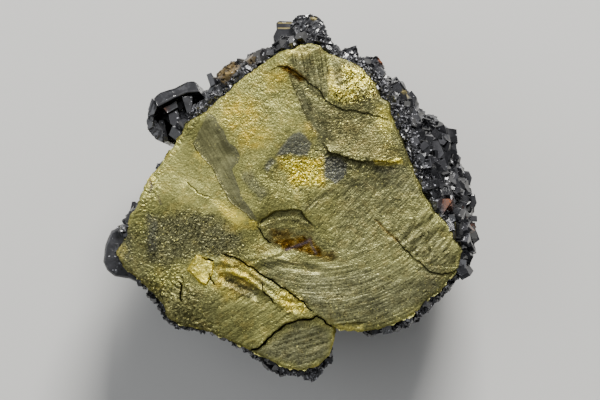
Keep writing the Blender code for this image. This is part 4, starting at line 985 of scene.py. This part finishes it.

# Large crystals: outline in picture pixels, bottom and top in mm, how much the top rises to the
# right and down the picture in mm per mm, how far the foot is drawn in in mm, then a terrace:
# how wide its border is and how far it steps, in mm, how rough its faces are in mm, and for
# those with fine lines of painted yellow highlight on their edges, how long an edge may be, in mm
largeCrystals = {
    "main_crystals": {
        "root": ([(207, 108), (197, 90), (160, 99), (152, 116), (158, 132), (176, 139)],
                 10, 21, 0, 0, 7, 0, 0, 0.15),
        "long slab": ([(153, 98), (160, 92), (175, 87.5), (187, 81), (195, 81), (199, 91.5),
                       (187, 92), (174, 97.5), (157, 106)], 21, 30.8, 0.05, 0.12, 2,
                      0.35, -0.12, 0.08),
        "slab lip": ([(157, 104), (174, 96), (187, 90.5), (197, 89.5), (199, 91.5), (187, 92.5),
                      (174, 98), (158, 106.5)], 24, 31.1, 0.05, 0.12, 0, 0, 0, 0.03),
        "curved band top": ([(151, 97), (147, 109), (149, 116), (154, 114), (157, 103)],
                            19, 29.8, 0.2, 0.1, 2, 0, 0, 0.12),
        "curved band middle": ([(148, 108), (145.5, 121), (147, 130), (152, 127), (154, 112)],
                               18, 29.0, 0.4, 0, 2, 0, 0, 0.12),
        "curved band foot": (
            [(146, 122), (148, 131), (155, 139), (162, 142), (163, 130), (155, 120)],
            17, 28.2, 0.3, -0.2, 2, 0, 0, 0.14),
        "foot plate": ([(158, 120), (163, 119), (168, 141), (163, 142), (157, 133)],
                       17, 27.6, -0.3, 0, 2, 0, 0, 0.08),
        "inner step": ([(163, 108), (176, 101), (178, 107), (167, 113)], 19, 30.3, 0, -0.1, 0,
                       0.25, -0.2, 0.04),
        "inner face": ([(168, 114), (177, 109), (180, 120), (175, 127), (170, 124)],
                       19, 30.0, 0.1, 0.2, 0, 0, 0, 0.04),
        "dark step": ([(177, 102), (183, 99), (187, 112), (188, 123), (182, 127), (179, 117)],
                      19, 27.5, -0.2, 0.2, 0, 0, 0, 0.03),
        "narrow step": ([(182, 97), (192, 95), (192, 104), (190, 113), (187, 113)],
                        19, 30.6, -0.3, 0.1, 0, 0, 0, 0.04),
        "shoulder": ([(190, 107), (204, 99), (208, 109), (194, 119)], 17, 30.4, 0, -0.2, 0,
                     0, 0, 0.35),
        "bent plate top": ([(206, 74), (211, 72), (215, 84), (210, 87)],
                           18, 29.8, 0.3, 0, 3, 0, 0, 0.05),
        "bent plate foot": ([(210, 85), (215, 84), (213, 98), (206, 100), (204, 97)],
                            18, 29.4, 0.3, 0.1, 3, 0, 0, 0.05),
        "brown lump": ([(216, 74), (224, 66), (234, 60), (240, 70), (232, 80), (219, 84)],
                       19, 29.4, 0, -0.3, 3, 0, 0, 0.22),
        "granular lump": ([(212, 88), (224, 82), (232, 90), (218, 100)], 22, 31.2, 0, 0.1, 0,
                          0, 0, 0.3),
        "white facet": ([(243, 71), (249, 68), (251, 74), (245, 77)], 24, 32.4, 0, -0.5, 0,
                        0, 0, 0.02),
        "grey lump": ([(240, 70), (243, 61), (254, 59), (260, 65), (250, 72)],
                      23, 31.5, 0, 0, 2, 0, 0, 0.3),
        "upper lump": ([(252, 59), (258, 49), (269, 50), (272, 57), (262, 65)],
                       22, 31.2, 0.1, 0, 2, 0, 0, 0.3),
        "left prism ledge": ([(276, 22), (279, 20), (292, 20.5), (293, 28), (276.5, 28)],
                             20, 28.6, 0, 0.1, 3, 0, 0, 0.02, 0.26),
        "left prism": ([(277, 27.5), (293, 27.5), (300, 38), (300, 46), (290, 43), (274, 40),
                        (273, 36)], 19, 29.4, 0.1, 0.05, 3, 0, 0, 0.02, 0.26),
        "rounded crystal": ([(272, 44), (277, 39), (288, 39), (292, 44), (290, 51), (277, 53)],
                            22, 31.2, 0, -0.2, 2, 0.6, 0.3, 0.22),
        "pitted crystal": (
            [(290, 24), (296, 16), (305, 12.5), (315, 14), (322, 19), (326, 27), (329, 36),
             (325, 47), (303, 45), (296, 34)], 17, 30.6, -0.05, 0.15, 4, 0.9, 0.3, 0.42),
        "pitted edge": ([(292, 26), (297, 24), (304, 36), (307, 45), (302, 46), (296, 36)],
                        20, 31.4, 0, 0.2, 2, 0, 0, 0.25),
        "side lump": ([(318, 34), (331, 37), (336, 50), (320, 48)], 20, 32.0, 0, 0, 2, 0.4, 0.3,
                      0.35),
        "upper bump": ([(342, 56), (345, 47), (356, 45), (360, 54), (352, 62)],
                       22, 31.6, 0, 0, 2, 0, 0, 0.35),
        "rim bump": ([(362, 66), (366, 55), (377, 56), (386, 66), (374, 78)], 22, 31.3, 0, 0, 2,
                     0, 0, 0.35),
        "dark shoulder": ([(390, 84), (400, 80), (408, 92), (402, 104), (390, 98)],
                          20, 29.6, 0.1, 0, 2, 0.5, -0.3, 0.05),
        "shoulder face": ([(400, 92), (406, 90), (408, 99), (402, 101)], 20, 30.4, 0, -0.4, 2,
                          0, 0, 0.02),
        "white face": ([(439, 126), (445, 124), (448, 134), (441, 137)], 19, 26.8, 0.1, -0.5, 2,
                       0, 0, 0.02),
        "square block": ([(447, 142), (457, 142), (459, 153), (448, 153)], 16, 24.4, 0.15, 0, 2,
                         0, 0, 0.02),
        "bright plate": ([(433, 153), (437, 150), (451, 157), (448, 163)], 19, 27.2, 0, 0.15, 2,
                         0.25, -0.1, 0.02),
        "small block": ([(452, 154), (460, 154), (461, 159), (453, 160)], 16, 24.0, 0, -0.3, 2,
                        0, 0, 0.02),
        "tall prism": ([(450, 160), (457, 159), (460, 178), (453, 181)], 16, 24.6, -0.2, 0.1, 2,
                       0, 0, 0.02),
        "narrow prism": ([(442, 163), (447, 164), (450, 176), (444, 174)], 18, 26.4, 0.3, 0, 2,
                         0, 0, 0.02),
        "leaning block": ([(428, 140), (437, 139), (440, 149), (430, 150)], 20, 28.0, 0.2, -0.2,
                          2, 0, 0, 0.02),
        "side block": ([(464, 170), (471, 171), (474, 178), (472, 185), (465, 183)],
                       13, 20.8, 0.2, 0, 2, 0.3, 0.2, 0.04),
        "outer block": ([(468, 194), (477, 194), (479, 203), (476, 209), (469, 209)],
                        12, 20, 0, -0.1, 2, 0.3, 0.2, 0.04),
        "level plate": ([(459, 215), (479, 216), (479, 222), (460, 221)], 15, 22.2, 0, 0.2, 2,
                        0, 0, 0.03),
        "outer tip": ([(469, 235), (479, 233), (482, 240), (474, 246)], 14, 21, 0, 0, 3, 0, 0,
                      0.05),
        "bright sliver": ([(467, 255), (474, 253), (475, 259), (467, 261)], 15, 22, 0, -0.3, 3,
                          0, 0, 0.03),
    },
    "lower_left_crystals": {
        "left tip": ([(115, 227), (120, 224.5), (126, 227), (125, 232), (117, 233)],
                     20, 27.8, -0.2, 0.3, 2, 0, 0, 0.12),
        "corner crystal": ([(302, 369), (317, 367), (323, 374), (314, 383), (304, 382)],
                           20, 28.3, 0, -0.1, 3, 0, 0, 0.35),
    },
}
leftCrystal = dict(
    outline=[(118, 227), (110, 231), (104, 245), (102, 262), (106, 271), (114, 277), (128, 279),
             (138, 284), (142, 262), (134, 236)],
    rings=[(13.0, 0.62), (17.0, 0.9), (20.0, 0.99), (26.2, 1.0), (26.9, 0.9)],   # height, width
    bevel=0.13, longest=0.7, fineFrom=22.0, rough=0.05)


def crustAt(crust, degrees):        # lowest and highest edge, thickness and crystal width, in mm
    angles, *columns = zip(*crust["profile"])
    return [float(np.interp(degrees, angles, column)) for column in columns]


def meetFlank(degrees, height):
    away = Vector((math.cos(math.radians(degrees)), math.sin(math.radians(degrees)), 0.0))
    spot, normal, _, _ = lumpTree.ray_cast(away * 0.08 + Vector((0.0, 0.0, height * mm)), -away)
    return spot, normal


def buildSheet(crust):              # a closed sheet over part of the flank, rooted in the lump
    first, last = crust["profile"][0][0], crust["profile"][-1][0]
    step = crustSheet["step"]
    columns = max(4, round(math.radians(last - first) * crustSheet["radius"] / step))
    tallest = max(row[2] - row[1] for row in crust["profile"])
    rows = max(4, round(tallest / step))
    rng = random.Random(crust["seed"])
    inner, outer, normals = [], [], []
    for column in range(columns + 1):
        degrees = first + (last - first) * column / columns
        low, high, thick, _ = crustAt(crust, degrees)
        wander = noiseAt(np.array([[degrees / 9.0, 0.0]]), 1.0, 40)[0] * 2.0
        for row in range(rows + 1):
            inside = 0 < row < rows and 0 < column < columns
            share = (row + rng.uniform(-0.3, 0.3) * inside) / rows
            turn = degrees + rng.uniform(-0.3, 0.3) * inside * (last - first) / columns
            spot, normal = meetFlank(turn, low + wander + (high - low - wander) * share)
            rim = min(row, rows - row, column, columns - column)
            depth = thick * (0.55 + 0.25 * min(1.0, rim / 2.0))
            inner.append(spot - normal * crustSheet["root"] * mm)
            outer.append(spot + normal * depth * mm)
            normals.append(normal)
    spots = np.array([s[:] for s in outer])
    size, height = crustSheet["noise"]
    bulge = noiseAt(spots, size * mm, 41, 2) * height
    for seed, (size, height) in enumerate(crustSheet["facets"], 42):
        bulge += facetsAt(spots, size * mm, seed) * height
    mesh = bmesh.new()
    outerLayer = mesh.verts.layers.float.new("outer")
    innerVerts = [mesh.verts.new(s) for s in inner]
    outerVerts = []
    for spot, normal, swell in zip(outer, normals, bulge):
        vert = mesh.verts.new(spot + normal * float(swell) * crustSheet["lumps"] * mm)
        vert[outerLayer] = 1.0
        outerVerts.append(vert)
    across = rows + 1
    for column in range(columns):
        for row in range(rows):
            a = column * across + row
            b, c, d = a + across, a + across + 1, a + 1
            for front in ((a, b, c), (a, c, d)):
                mesh.faces.new([outerVerts[i] for i in front])
                mesh.faces.new([innerVerts[i] for i in front[::-1]])
    loop = [column * across for column in range(columns + 1)]
    loop += [columns * across + row for row in range(1, across)]
    loop += [column * across + rows for column in range(columns - 1, -1, -1)]
    loop += list(range(rows - 1, 0, -1))
    for here, after in zip(loop, loop[1:] + loop[:1]):
        mesh.faces.new((outerVerts[after], outerVerts[here], innerVerts[here]))
        mesh.faces.new((outerVerts[after], innerVerts[here], innerVerts[after]))
    bmesh.ops.recalc_face_normals(mesh, faces=mesh.faces)
    return mesh


def addLargeCrystal(mesh, outline, low, high, riseRight, riseDown, drawIn, border, stepUp,
                    rough, longest=None):
    part = bmesh.new()
    plan = toPlan(outline)
    middle = plan.mean(axis=0)
    inward = -middle / np.hypot(*middle) * drawIn * mm
    lower = [part.verts.new((x, y, low * mm)) for x, y in plan + inward]
    upper = [part.verts.new((x, y, high * mm + (x - middle[0]) * riseRight
                             - (y - middle[1]) * riseDown)) for x, y in plan]
    part.faces.new(lower)
    top = part.faces.new(upper[::-1])
    for i in range(len(plan)):
        j = (i + 1) % len(plan)
        part.faces.new((lower[j], lower[i], upper[i], upper[j]))
    bmesh.ops.recalc_face_normals(part, faces=part.faces)
    if border:
        bmesh.ops.inset_individual(part, faces=[top], thickness=border * mm, depth=0.0)
        bmesh.ops.translate(part, verts=top.verts, vec=(0.0, 0.0, stepUp * mm))
    bevelEdges(part, crystalCut["bevel"])
    depth = crystalCut["glintLineDepth" if longest else "fineDepth"]
    cutFine(part, longest or crystalCut["roughEdge" if rough > 0.1 else "plainEdge"],
            high - depth)
    roughen(part, rough)
    addPart(mesh, part)


def bevelEdges(part, width):
    bmesh.ops.bevel(part, geom=part.edges, offset=width * mm, segments=1, affect="EDGES",
                    clamp_overlap=True)


def cutFine(part, longest, fineFrom):
    # cuts long edges in two until every one is short, or less so under the height fineFrom
    bmesh.ops.remove_doubles(part, verts=part.verts, dist=0.01 * mm)
    for _ in range(5):
        bmesh.ops.triangulate(part, faces=part.faces)
        long = [e for e in part.edges if e.calc_length() > longest * mm * (
            1.0 if max(v.co.z for v in e.verts) > fineFrom * mm else crystalCut["below"])]
        bmesh.ops.subdivide_edges(part, edges=long, cuts=1)
    bmesh.ops.triangulate(part, faces=part.faces)


def roughen(part, depth):           # breaks a crystal's faces up into little steps and facets
    part.normal_update()
    spots = np.array([v.co[:] for v in part.verts])
    steps = sum(facetsAt(spots, size * mm, seed) * height
                for seed, (size, height) in enumerate(crystalCut["facets"], 51))
    for vert, step in zip(list(part.verts), steps):
        vert.co -= vert.normal * (max(-0.3, min(1.6, float(step) + 0.4)) * depth * mm)


def addPart(mesh, part):            # copies one mesh into another
    verts = [mesh.verts.new(v.co) for v in part.verts]
    part.verts.index_update()
    for face in part.faces:
        corners = [verts[v.index] for v in face.verts]
        if not mesh.faces.get(corners):
            mesh.faces.new(corners)
    part.free()


def addLeftCrystal(mesh):
    plan = toPlan(leftCrystal["outline"])
    middle = plan.mean(axis=0)
    part = bmesh.new()
    rings = []
    for height, share in leftCrystal["rings"]:
        rings.append([part.verts.new((x, y, height * mm))
                      for x, y in middle + (plan - middle) * share])
    part.faces.new(rings[0])
    part.faces.new(rings[-1])
    for lower, upper in zip(rings, rings[1:]):
        for i in range(len(plan)):
            j = (i + 1) % len(plan)
            part.faces.new((lower[i], lower[j], upper[j], upper[i]))
    bmesh.ops.recalc_face_normals(part, faces=part.faces)
    bevelEdges(part, leftCrystal["bevel"])
    cutFine(part, leftCrystal["longest"], leftCrystal["fineFrom"])
    roughen(part, leftCrystal["rough"])
    addPart(mesh, part)


# One crystal of each habit, a millimetre wide; the crusts are built of turned copies
def blockShape(size, cut):          # a block with one corner cut off
    part = bmesh.new()
    half = Vector(size) * 0.5
    corners = [Vector((x, y, z)) for x in (-1, 1) for y in (-1, 1) for z in (-1, 1)]
    points = [Vector((c.x * half.x, c.y * half.y, c.z * half.z)) for c in corners[:-1]]
    for axis in range(3):
        corner = half.copy()
        corner[axis] -= size[axis] * cut
        points.append(corner)
    verts = [part.verts.new(point * mm) for point in points]
    for face in [(0, 1, 3, 2), (0, 1, 5, 4), (0, 2, 6, 4), (4, 5, 8, 9, 6), (2, 3, 7, 9, 6),
                 (1, 3, 7, 8, 5), (7, 8, 9)]:
        part.faces.new([verts[i] for i in face])
    bmesh.ops.recalc_face_normals(part, faces=part.faces)
    return part


def steppedShape(size, steps):      # a block with terraces, or with negative steps a hopper
    part = bmesh.new()
    bmesh.ops.create_cube(part, size=mm)
    bmesh.ops.scale(part, verts=part.verts, vec=size)
    part.normal_update()
    top = max(part.faces, key=lambda f: f.normal.z)
    for border, rise in steps:
        bmesh.ops.inset_individual(part, faces=[top], thickness=border * mm, depth=0.0)
        bmesh.ops.inset_individual(part, faces=[top], thickness=0.015 * mm, depth=0.0)
        bmesh.ops.translate(part, verts=top.verts, vec=(0.0, 0.0, rise * mm))
    return part


tetrahedronTips = [Vector(p) for p in ((1, 1, 1), (-1, -1, 1), (-1, 1, -1), (1, -1, -1))]


def wedgeShape(size, cut):          # a truncated tetrahedron
    part = bmesh.new()
    verts = {}
    for i, j in itertools.permutations(range(4), 2):
        spot = tetrahedronTips[i].lerp(tetrahedronTips[j], cut)
        verts[i, j] = part.verts.new([c * s * 0.5 * mm for c, s in zip(spot, size)])
    for i in range(4):
        a, b, c = [k for k in range(4) if k != i]
        part.faces.new((verts[i, a], verts[i, b], verts[i, c]))
        part.faces.new((verts[a, b], verts[b, a], verts[b, c], verts[c, b], verts[c, a],
                        verts[a, c]))
    bmesh.ops.recalc_face_normals(part, faces=part.faces)
    return part


def shardShape(size):               # a plain tetrahedron
    part = bmesh.new()
    verts = [part.verts.new([c * s * 0.5 * mm for c, s in zip(tip, size)])
             for tip in tetrahedronTips]
    for corners in itertools.combinations(verts, 3):
        part.faces.new(corners)
    bmesh.ops.recalc_face_normals(part, faces=part.faces)
    return part


def habitCollection(name, parts):
    group = bpy.data.collections.new(name)
    for number, part in enumerate(parts):
        data = bpy.data.meshes.new(f"{name}{number}")
        part.to_mesh(data)
        part.free()
        group.objects.link(bpy.data.objects.new(f"{name}{number}", data))
    return group


crystalHabits = habitCollection("habit", [
    blockShape((1.0, 0.8, 0.9), 0.35), blockShape((1.1, 0.6, 0.7), 0.3),
    steppedShape((1.0, 0.9, 0.9), [(0.14, -0.1), (0.12, -0.1)]),
    steppedShape((1.1, 0.8, 0.7), [(0.16, 0.1), (0.1, 0.1)]),
    wedgeShape((1.25, 1.15, 1.0), 0.22), wedgeShape((1.1, 1.0, 0.7), 0.3),
    blockShape((1.3, 0.35, 0.8), 0.25)])
granuleHabits = habitCollection("granule", [
    shardShape((1.3, 1.1, 1.0)), shardShape((1.4, 1.2, 1.0)), shardShape((1.6, 1.0, 0.9))])


def scatterTree(material):
    # crystals, then granules, on the outer side of a sheet, sized and thinned by its masks
    tree = bpy.data.node_groups.new("crystalGrowth", "GeometryNodeTree")
    for name, kind in (
            ("Geometry", "Geometry"), ("Crystals", "Collection"), ("Granules", "Collection"),
            ("Crystals Apart", "Float"), ("Crystal Density", "Float"),
            ("Granule Density", "Float"), ("Granule Size", "Float"), ("Seed", "Int")):
        tree.interface.new_socket(name, in_out="INPUT", socket_type="NodeSocket" + kind)
    tree.interface.new_socket("Geometry", in_out="OUTPUT", socket_type="NodeSocketGeometry")
    given = addNode(tree, "NodeGroupInput").outputs
    times, plus = nodeWords(tree)[:2]

    def named(name):
        return addNode(tree, "GeometryNodeInputNamedAttribute", {"Name": name},
                       data_type="FLOAT").outputs["Attribute"]

    def randomOf(low, high, seedShift):     # a number, or a vector between two vectors
        vector = isinstance(low, tuple)
        first = 0 if vector else 2
        node = addNode(tree, "FunctionNodeRandomValue", {
            first: low, first + 1: high, "Seed": plus(given["Seed"], float(seedShift))},
            data_type="FLOAT_VECTOR" if vector else "FLOAT")
        return node.outputs[0 if vector else 1]

    def scaled(vector, scale):
        return addNode(tree, "ShaderNodeVectorMath", {0: vector, "Scale": scale},
                       operation="SCALE").outputs[0]

    def grow(points, normals, group, size, lean, shift):
        stand = addNode(tree, "FunctionNodeAlignEulerToVector", {"Vector": normals}, axis="Z")
        turn = randomOf((-lean, -lean, -math.pi), (lean, lean, math.pi), shift)
        turned = addNode(tree, "FunctionNodeRotateEuler", {0: stand.outputs[0], 1: turn},
                         rotation_type="EULER", space="LOCAL")
        shapes = addNode(tree, "GeometryNodeCollectionInfo", {
            "Collection": group, "Separate Children": True, "Reset Children": True})
        stretch = randomOf(*growth["stretch"], shift + 1)
        copies = addNode(tree, "GeometryNodeInstanceOnPoints", {
            "Points": points, "Instance": shapes.outputs[0], "Pick Instance": True,
            "Rotation": turned.outputs[0], "Scale": scaled(stretch, size)})
        own = randomOf(0.0, 1.0, shift + 2)
        return addNode(tree, "GeometryNodeStoreNamedAttribute", {
            "Geometry": copies.outputs[0], "Name": "own", "Value": own},
            data_type="FLOAT", domain="INSTANCE").outputs[0]

    facing = addNode(tree, "FunctionNodeCompare", {0: named("outer"), 1: 0.9},
                     data_type="FLOAT", operation="GREATER_THAN").outputs[0]
    seats = addNode(tree, "GeometryNodeDistributePointsOnFaces", {
        "Mesh": given["Geometry"], "Selection": facing, "Distance Min": given["Crystals Apart"],
        "Density Max": given["Crystal Density"], "Density Factor": named("stand"),
        "Seed": given["Seed"]}, distribute_method="POISSON").outputs
    size = times(named("size"), randomOf(*growth["crystalSizes"], 1))
    crystals = grow(seats["Points"], seats["Normal"], given["Crystals"], size,
                    growth["crystalLean"], 2)
    grains = addNode(tree, "GeometryNodeDistributePointsOnFaces", {
        "Mesh": given["Geometry"], "Selection": facing,
        "Density": times(named("crushed"), given["Granule Density"]),
        "Seed": plus(given["Seed"], 3.0)}, distribute_method="RANDOM").outputs
    size = times(given["Granule Size"], randomOf(*growth["granuleSizes"], 7))
    lifted = addNode(tree, "GeometryNodeSetPosition", {
        "Geometry": grains["Points"],
        "Offset": scaled(grains["Normal"], times(size, growth["granuleLift"] * mm))})
    granules = grow(lifted.outputs[0], grains["Normal"], given["Granules"], size,
                    growth["granuleLean"], 9)
    joined = addNode(tree, "GeometryNodeJoinGeometry")
    for part in (granules, crystals, given["Geometry"]):
        tree.links.new(part, joined.inputs[0])
    realized = addNode(tree, "GeometryNodeRealizeInstances", {0: joined.outputs[0]})
    coated = addNode(tree, "GeometryNodeSetMaterial", {
        "Geometry": realized.outputs[0], "Material": material})
    addNode(tree, "NodeGroupOutput", {"Geometry": coated.outputs[0]})
    return tree


# Where the crystals are crushed to bright grains, and where they are stained
crushedPatches = [
    (1.0, 6, [(330, 50), (352, 56), (372, 66), (388, 80), (396, 100), (402, 122), (396, 124),
              (386, 104), (372, 84), (352, 66), (330, 58)]),
    (0.9, 6, [(388, 100), (404, 108), (420, 150), (430, 190), (446, 214), (456, 232), (440, 222),
              (418, 190), (400, 146)]),
    (0.8, 5, [(190, 104), (206, 96), (228, 84), (246, 70), (262, 58), (278, 50), (262, 70),
              (232, 96), (206, 116), (192, 120)]),
    (0.08, 5, [(292, 26), (304, 14), (322, 22), (328, 40), (306, 46), (292, 42)]),
    (0.8, 5, [(165, 318), (188, 322), (212, 332), (210, 338), (184, 336), (163, 326)]),
    (0.6, 5, [(225, 340), (246, 348), (262, 356), (258, 362), (232, 352)]),
    (0.9, 5, [(276, 366), (300, 370), (320, 366), (326, 372), (314, 384), (286, 380)]),
    (0.8, 3, [(114, 225), (126, 225), (127, 233), (115, 234)]),
    (0.9, 4, [(143, 159), (160, 159), (158, 174), (152, 186), (143, 184)]),
    (0.8, 4, [(446, 276), (462, 272), (466, 284), (450, 292), (436, 300)]),
    (0.5, 5, [(392, 324), (416, 314), (436, 298), (442, 304), (416, 322), (394, 330)]),
]
stainPatches = [
    (0.75, 2, [(446, 198), (450, 198), (452, 209), (448, 210)]),
    (0.4, 2, [(475, 229), (478, 229), (478, 233), (475, 233)]),
    (0.8, 2, [(378, 56), (386, 60), (386, 66), (380, 62)]),
    (0.2, 3, [(161, 108), (167, 107), (167, 113), (161, 114)]),
]
tanPatches = [
    (0.8, 4, [(216, 74), (226, 66), (234, 61), (236, 69), (224, 80)]),
    (0.4, 5, [(244, 58), (256, 52), (262, 58), (250, 64)]),
]
# Painted yellow highlights along crystal edges
yellowGlintPatches = [
    (0.8, 1, [(278, 22), (292, 22), (292, 22.6), (278, 22.6)]),
    (0.8, 1, [(278, 27), (290, 27), (290, 27.8), (278, 27.8)]),
    (1.0, 1.5, [(311, 17), (317, 18), (317, 19.5), (312, 19)]),
    (1.0, 1.5, [(403, 90), (407, 91), (407, 94), (403, 93)]),
]


def maskOf(spots, patches, wobble=2.0):
    moved = spots + wobble * np.stack([noiseAt(spots, 5.0, 81, 2), noiseAt(spots, 5.0, 84, 2)], 1)
    mask = np.zeros(len(spots))
    for strength, soft, outline in patches:
        mask = np.maximum(mask, strength * within(moved, outline, soft))
    return mask


def tintSheet(piece, crust):        # masks that steer the growth
    places = vertexPlaces(piece)
    spots = toPicture(places[:, :2])
    degrees = np.degrees(np.arctan2(places[:, 1], places[:, 0]))
    wide = np.array([crustAt(crust, d)[3] for d in degrees])
    height = places[:, 2] / mm
    crushed = np.maximum(maskOf(spots, crushedPatches), 0.02 + 0.12 * noiseAt(spots, 8.0, 86))
    crushed = np.clip(crushed, 0.0, 1.0)
    high = smooth((height - crustSheet["crushedFrom"]) / crustSheet["crushedFade"])
    addAttribute(piece, "crushed", crushed * high)
    addAttribute(piece, "size", wide * (1.0 - 0.45 * crushed))
    addAttribute(piece, "stand", np.clip(1.0 - 0.35 * crushed, 0.0, 1.0))


sphaleriteLook = dict(
    # the grey colour is a random tone, and on the large crystals partly a painted sheen
    black=(0.004, 0.004, 0.005, 1.0), grey=(0.045, 0.045, 0.05, 1.0),
    pale=(0.34, 0.34, 0.37, 1.0), stain=sRgb(160, 86, 18), tan=sRgb(150, 128, 84),
    # the gold colour is a painted yellow highlight along crystal edges
    gold=sRgb(176, 160, 96), ior=1.6, broad=480.0, fine=3200.0, grains=3400.0,   # scales
    sparkleFrom=0.99, sparkle=0.8, roughness=(0.08, 0.24), bump=0.25,
)


def sphaleriteMaterial():
    look = sphaleriteLook
    material, tree, shader = startMaterial("blackSphalerite")
    times, plus, minus, ranged, mix, mask = nodeWords(tree)
    spot = addNode(tree, "ShaderNodeTexCoord").outputs["Object"]
    crushed = mask("crushed")
    broad = noiseNode(tree, spot, look["broad"], 3.0)
    fine = noiseNode(tree, spot, look["fine"], 2.0)
    _, grain = cellNode(tree, spot, look["grains"])
    # grey crystals: a random tone, and on the large crystals partly a painted sheen
    share = plus(ranged(mask("own"), 0.5, 1.0, 0.0, 0.9), ranged(broad, 0.5, 0.8, 0.0, 0.5))
    colour = mix(share, look["black"], look["grey"])
    dust = times(plus(crushed, 0.05), ranged(fine, 0.55, 0.8, 0.0, 0.6))
    colour = mix(dust, colour, look["pale"])
    sparkle = minus(look["sparkleFrom"], times(crushed, 0.12))
    sparkle = sums(tree, "GREATER_THAN", grain[1], sparkle)
    colour = mix(times(sparkle, look["sparkle"]), colour, look["pale"])
    # stain and tan are the crystals' own colour; the gold paints yellow highlights along edges
    for tint, share in (("stain", times(mask("stain"), ranged(fine, 0.35, 0.6, 0.3, 1.0))),
                        ("tan", times(mask("tan"), ranged(broad, 0.4, 0.6, 0.4, 1.0))),
                        ("gold", mask("gold"))):
        colour = mix(share, colour, look[tint])
    roughness = plus(ranged(broad, 0.3, 0.7, *look["roughness"]), times(crushed, 0.15))
    shader.inputs["IOR"].default_value = look["ior"]
    linkShader(tree, shader, colour, roughness, plus(fine, times(broad, 2.0)), look["bump"])
    return material


blackStone = sphaleriteMaterial()
growthTree = scatterTree(blackStone)
growthSocket = {item.name: item.identifier for item in growthTree.interface.items_tree
                if item.item_type == "SOCKET" and item.in_out == "INPUT"}


def growCrystals(name, crust):
    sheet = makePiece(name + "Sheet", buildSheet(crust), blackStone)
    tintSheet(sheet, crust)
    modifier = sheet.modifiers.new("growth", "NODES")
    modifier.node_group = growthTree
    for socket, value in {
            "Crystals": crystalHabits, "Granules": granuleHabits,
            "Crystals Apart": crust["apart"] * mm, "Crystal Density": crust["perSquareMm"] * 1e6,
            "Granule Density": crustSheet["granulesPerSquareMm"] * 1e6,
            "Granule Size": crustSheet["granuleSize"], "Seed": crust["seed"]}.items():
        modifier[growthSocket[socket]] = value
    view = bpy.context.evaluated_depsgraph_get()
    grown = bpy.data.meshes.new_from_object(sheet.evaluated_get(view))
    large = bmesh.new()
    for slab in largeCrystals.get(name, {}).values():
        addLargeCrystal(large, *slab)
    if name == "lower_left_crystals":
        addLeftCrystal(large)
    mesh = bmesh.new()
    mesh.from_mesh(grown)
    ownLayer = mesh.verts.layers.float.get("own") or mesh.verts.layers.float.new("own")
    before = len(mesh.verts)
    addPart(mesh, large)
    mesh.verts.ensure_lookup_table()
    for vert in mesh.verts[before:]:
        # the large crystals' grey, partly a painted sheen
        vert[ownLayer] = crystalCut["greySheenShare"]
    bmesh.ops.triangulate(mesh, faces=mesh.faces)
    bpy.data.objects.remove(sheet, do_unlink=True)
    piece = makePiece(name, mesh, blackStone)
    for left in ("outer", "stand", "size", "crushed"):
        if left in piece.data.attributes:
            piece.data.attributes.remove(piece.data.attributes[left])
    places = vertexPlaces(piece)
    spots = toPicture(places[:, :2])
    high = smooth((places[:, 2] / mm - crustSheet["stainedFrom"]) / crustSheet["stainedFade"])
    addAttribute(piece, "crushed", maskOf(spots, crushedPatches) * (0.3 + 0.7 * high))
    addAttribute(piece, "stain", maskOf(spots, stainPatches) * high)
    addAttribute(piece, "tan", maskOf(spots, tanPatches) * high)
    # painted yellow highlight lines on the crystal edges
    addAttribute(piece, "gold", maskOf(spots, yellowGlintPatches, 0.3))
    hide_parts(crust["solid"])
    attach(piece, "root")
    print("stage:", name, len(piece.data.polygons), "triangles")


for pieceName, pieceCrust in crusts.items():
    growCrystals(pieceName, pieceCrust)


# The floor, light and camera
studio = dict(
    lens=343.0, camera=(0.00168, -0.00021, 1.234), world=0.3, sky=(0.95, 0.97, 1.0, 1.0),
    floor=(0.56, 0.555, 0.54, 1.0),
    lights={                        # place and size in metres, power in watts, colour
        "key": ((0.16, 0.82, 0.56), 0.42, 26.0, (1.0, 0.99, 0.95)),
        "fill": ((-1.1, 0.2, 0.9), 1.5, 9.0, (0.94, 0.97, 1.0)),
    },
)


def areaLight(name, spot, size, power, colour):
    light = bpy.data.lights.new(name, "AREA")
    light.size = size
    light.energy = power
    light.color = colour
    lamp = bpy.data.objects.new(name, light)
    lamp.location = spot
    lamp.rotation_euler = (Vector((0.0, 0.0, 0.02)) - Vector(spot)).to_track_quat(
        "-Z", "Y").to_euler()
    bpy.context.scene.collection.objects.link(lamp)


def buildStudio():
    bpy.ops.mesh.primitive_plane_add(size=3.0)
    floor = bpy.context.object
    floor.name = "floor"
    paper, _, shader = startMaterial("floorPaper")
    shader.inputs["Base Color"].default_value = studio["floor"]
    shader.inputs["Roughness"].default_value = 0.9
    floor.data.materials.append(paper)
    world = bpy.data.worlds.new("softSky")
    world.use_nodes = True
    sky = world.node_tree.nodes["Background"]
    sky.inputs["Color"].default_value = studio["sky"]
    sky.inputs["Strength"].default_value = studio["world"]
    bpy.context.scene.world = world
    for name, light in studio["lights"].items():
        areaLight(name, *light)
    lens = bpy.data.cameras.new("camera")
    lens.lens = studio["lens"]
    camera = bpy.data.objects.new("camera", lens)
    camera.location = studio["camera"]
    bpy.context.scene.collection.objects.link(camera)
    bpy.context.scene.camera = camera


buildStudio()
print("stage: scene ready")
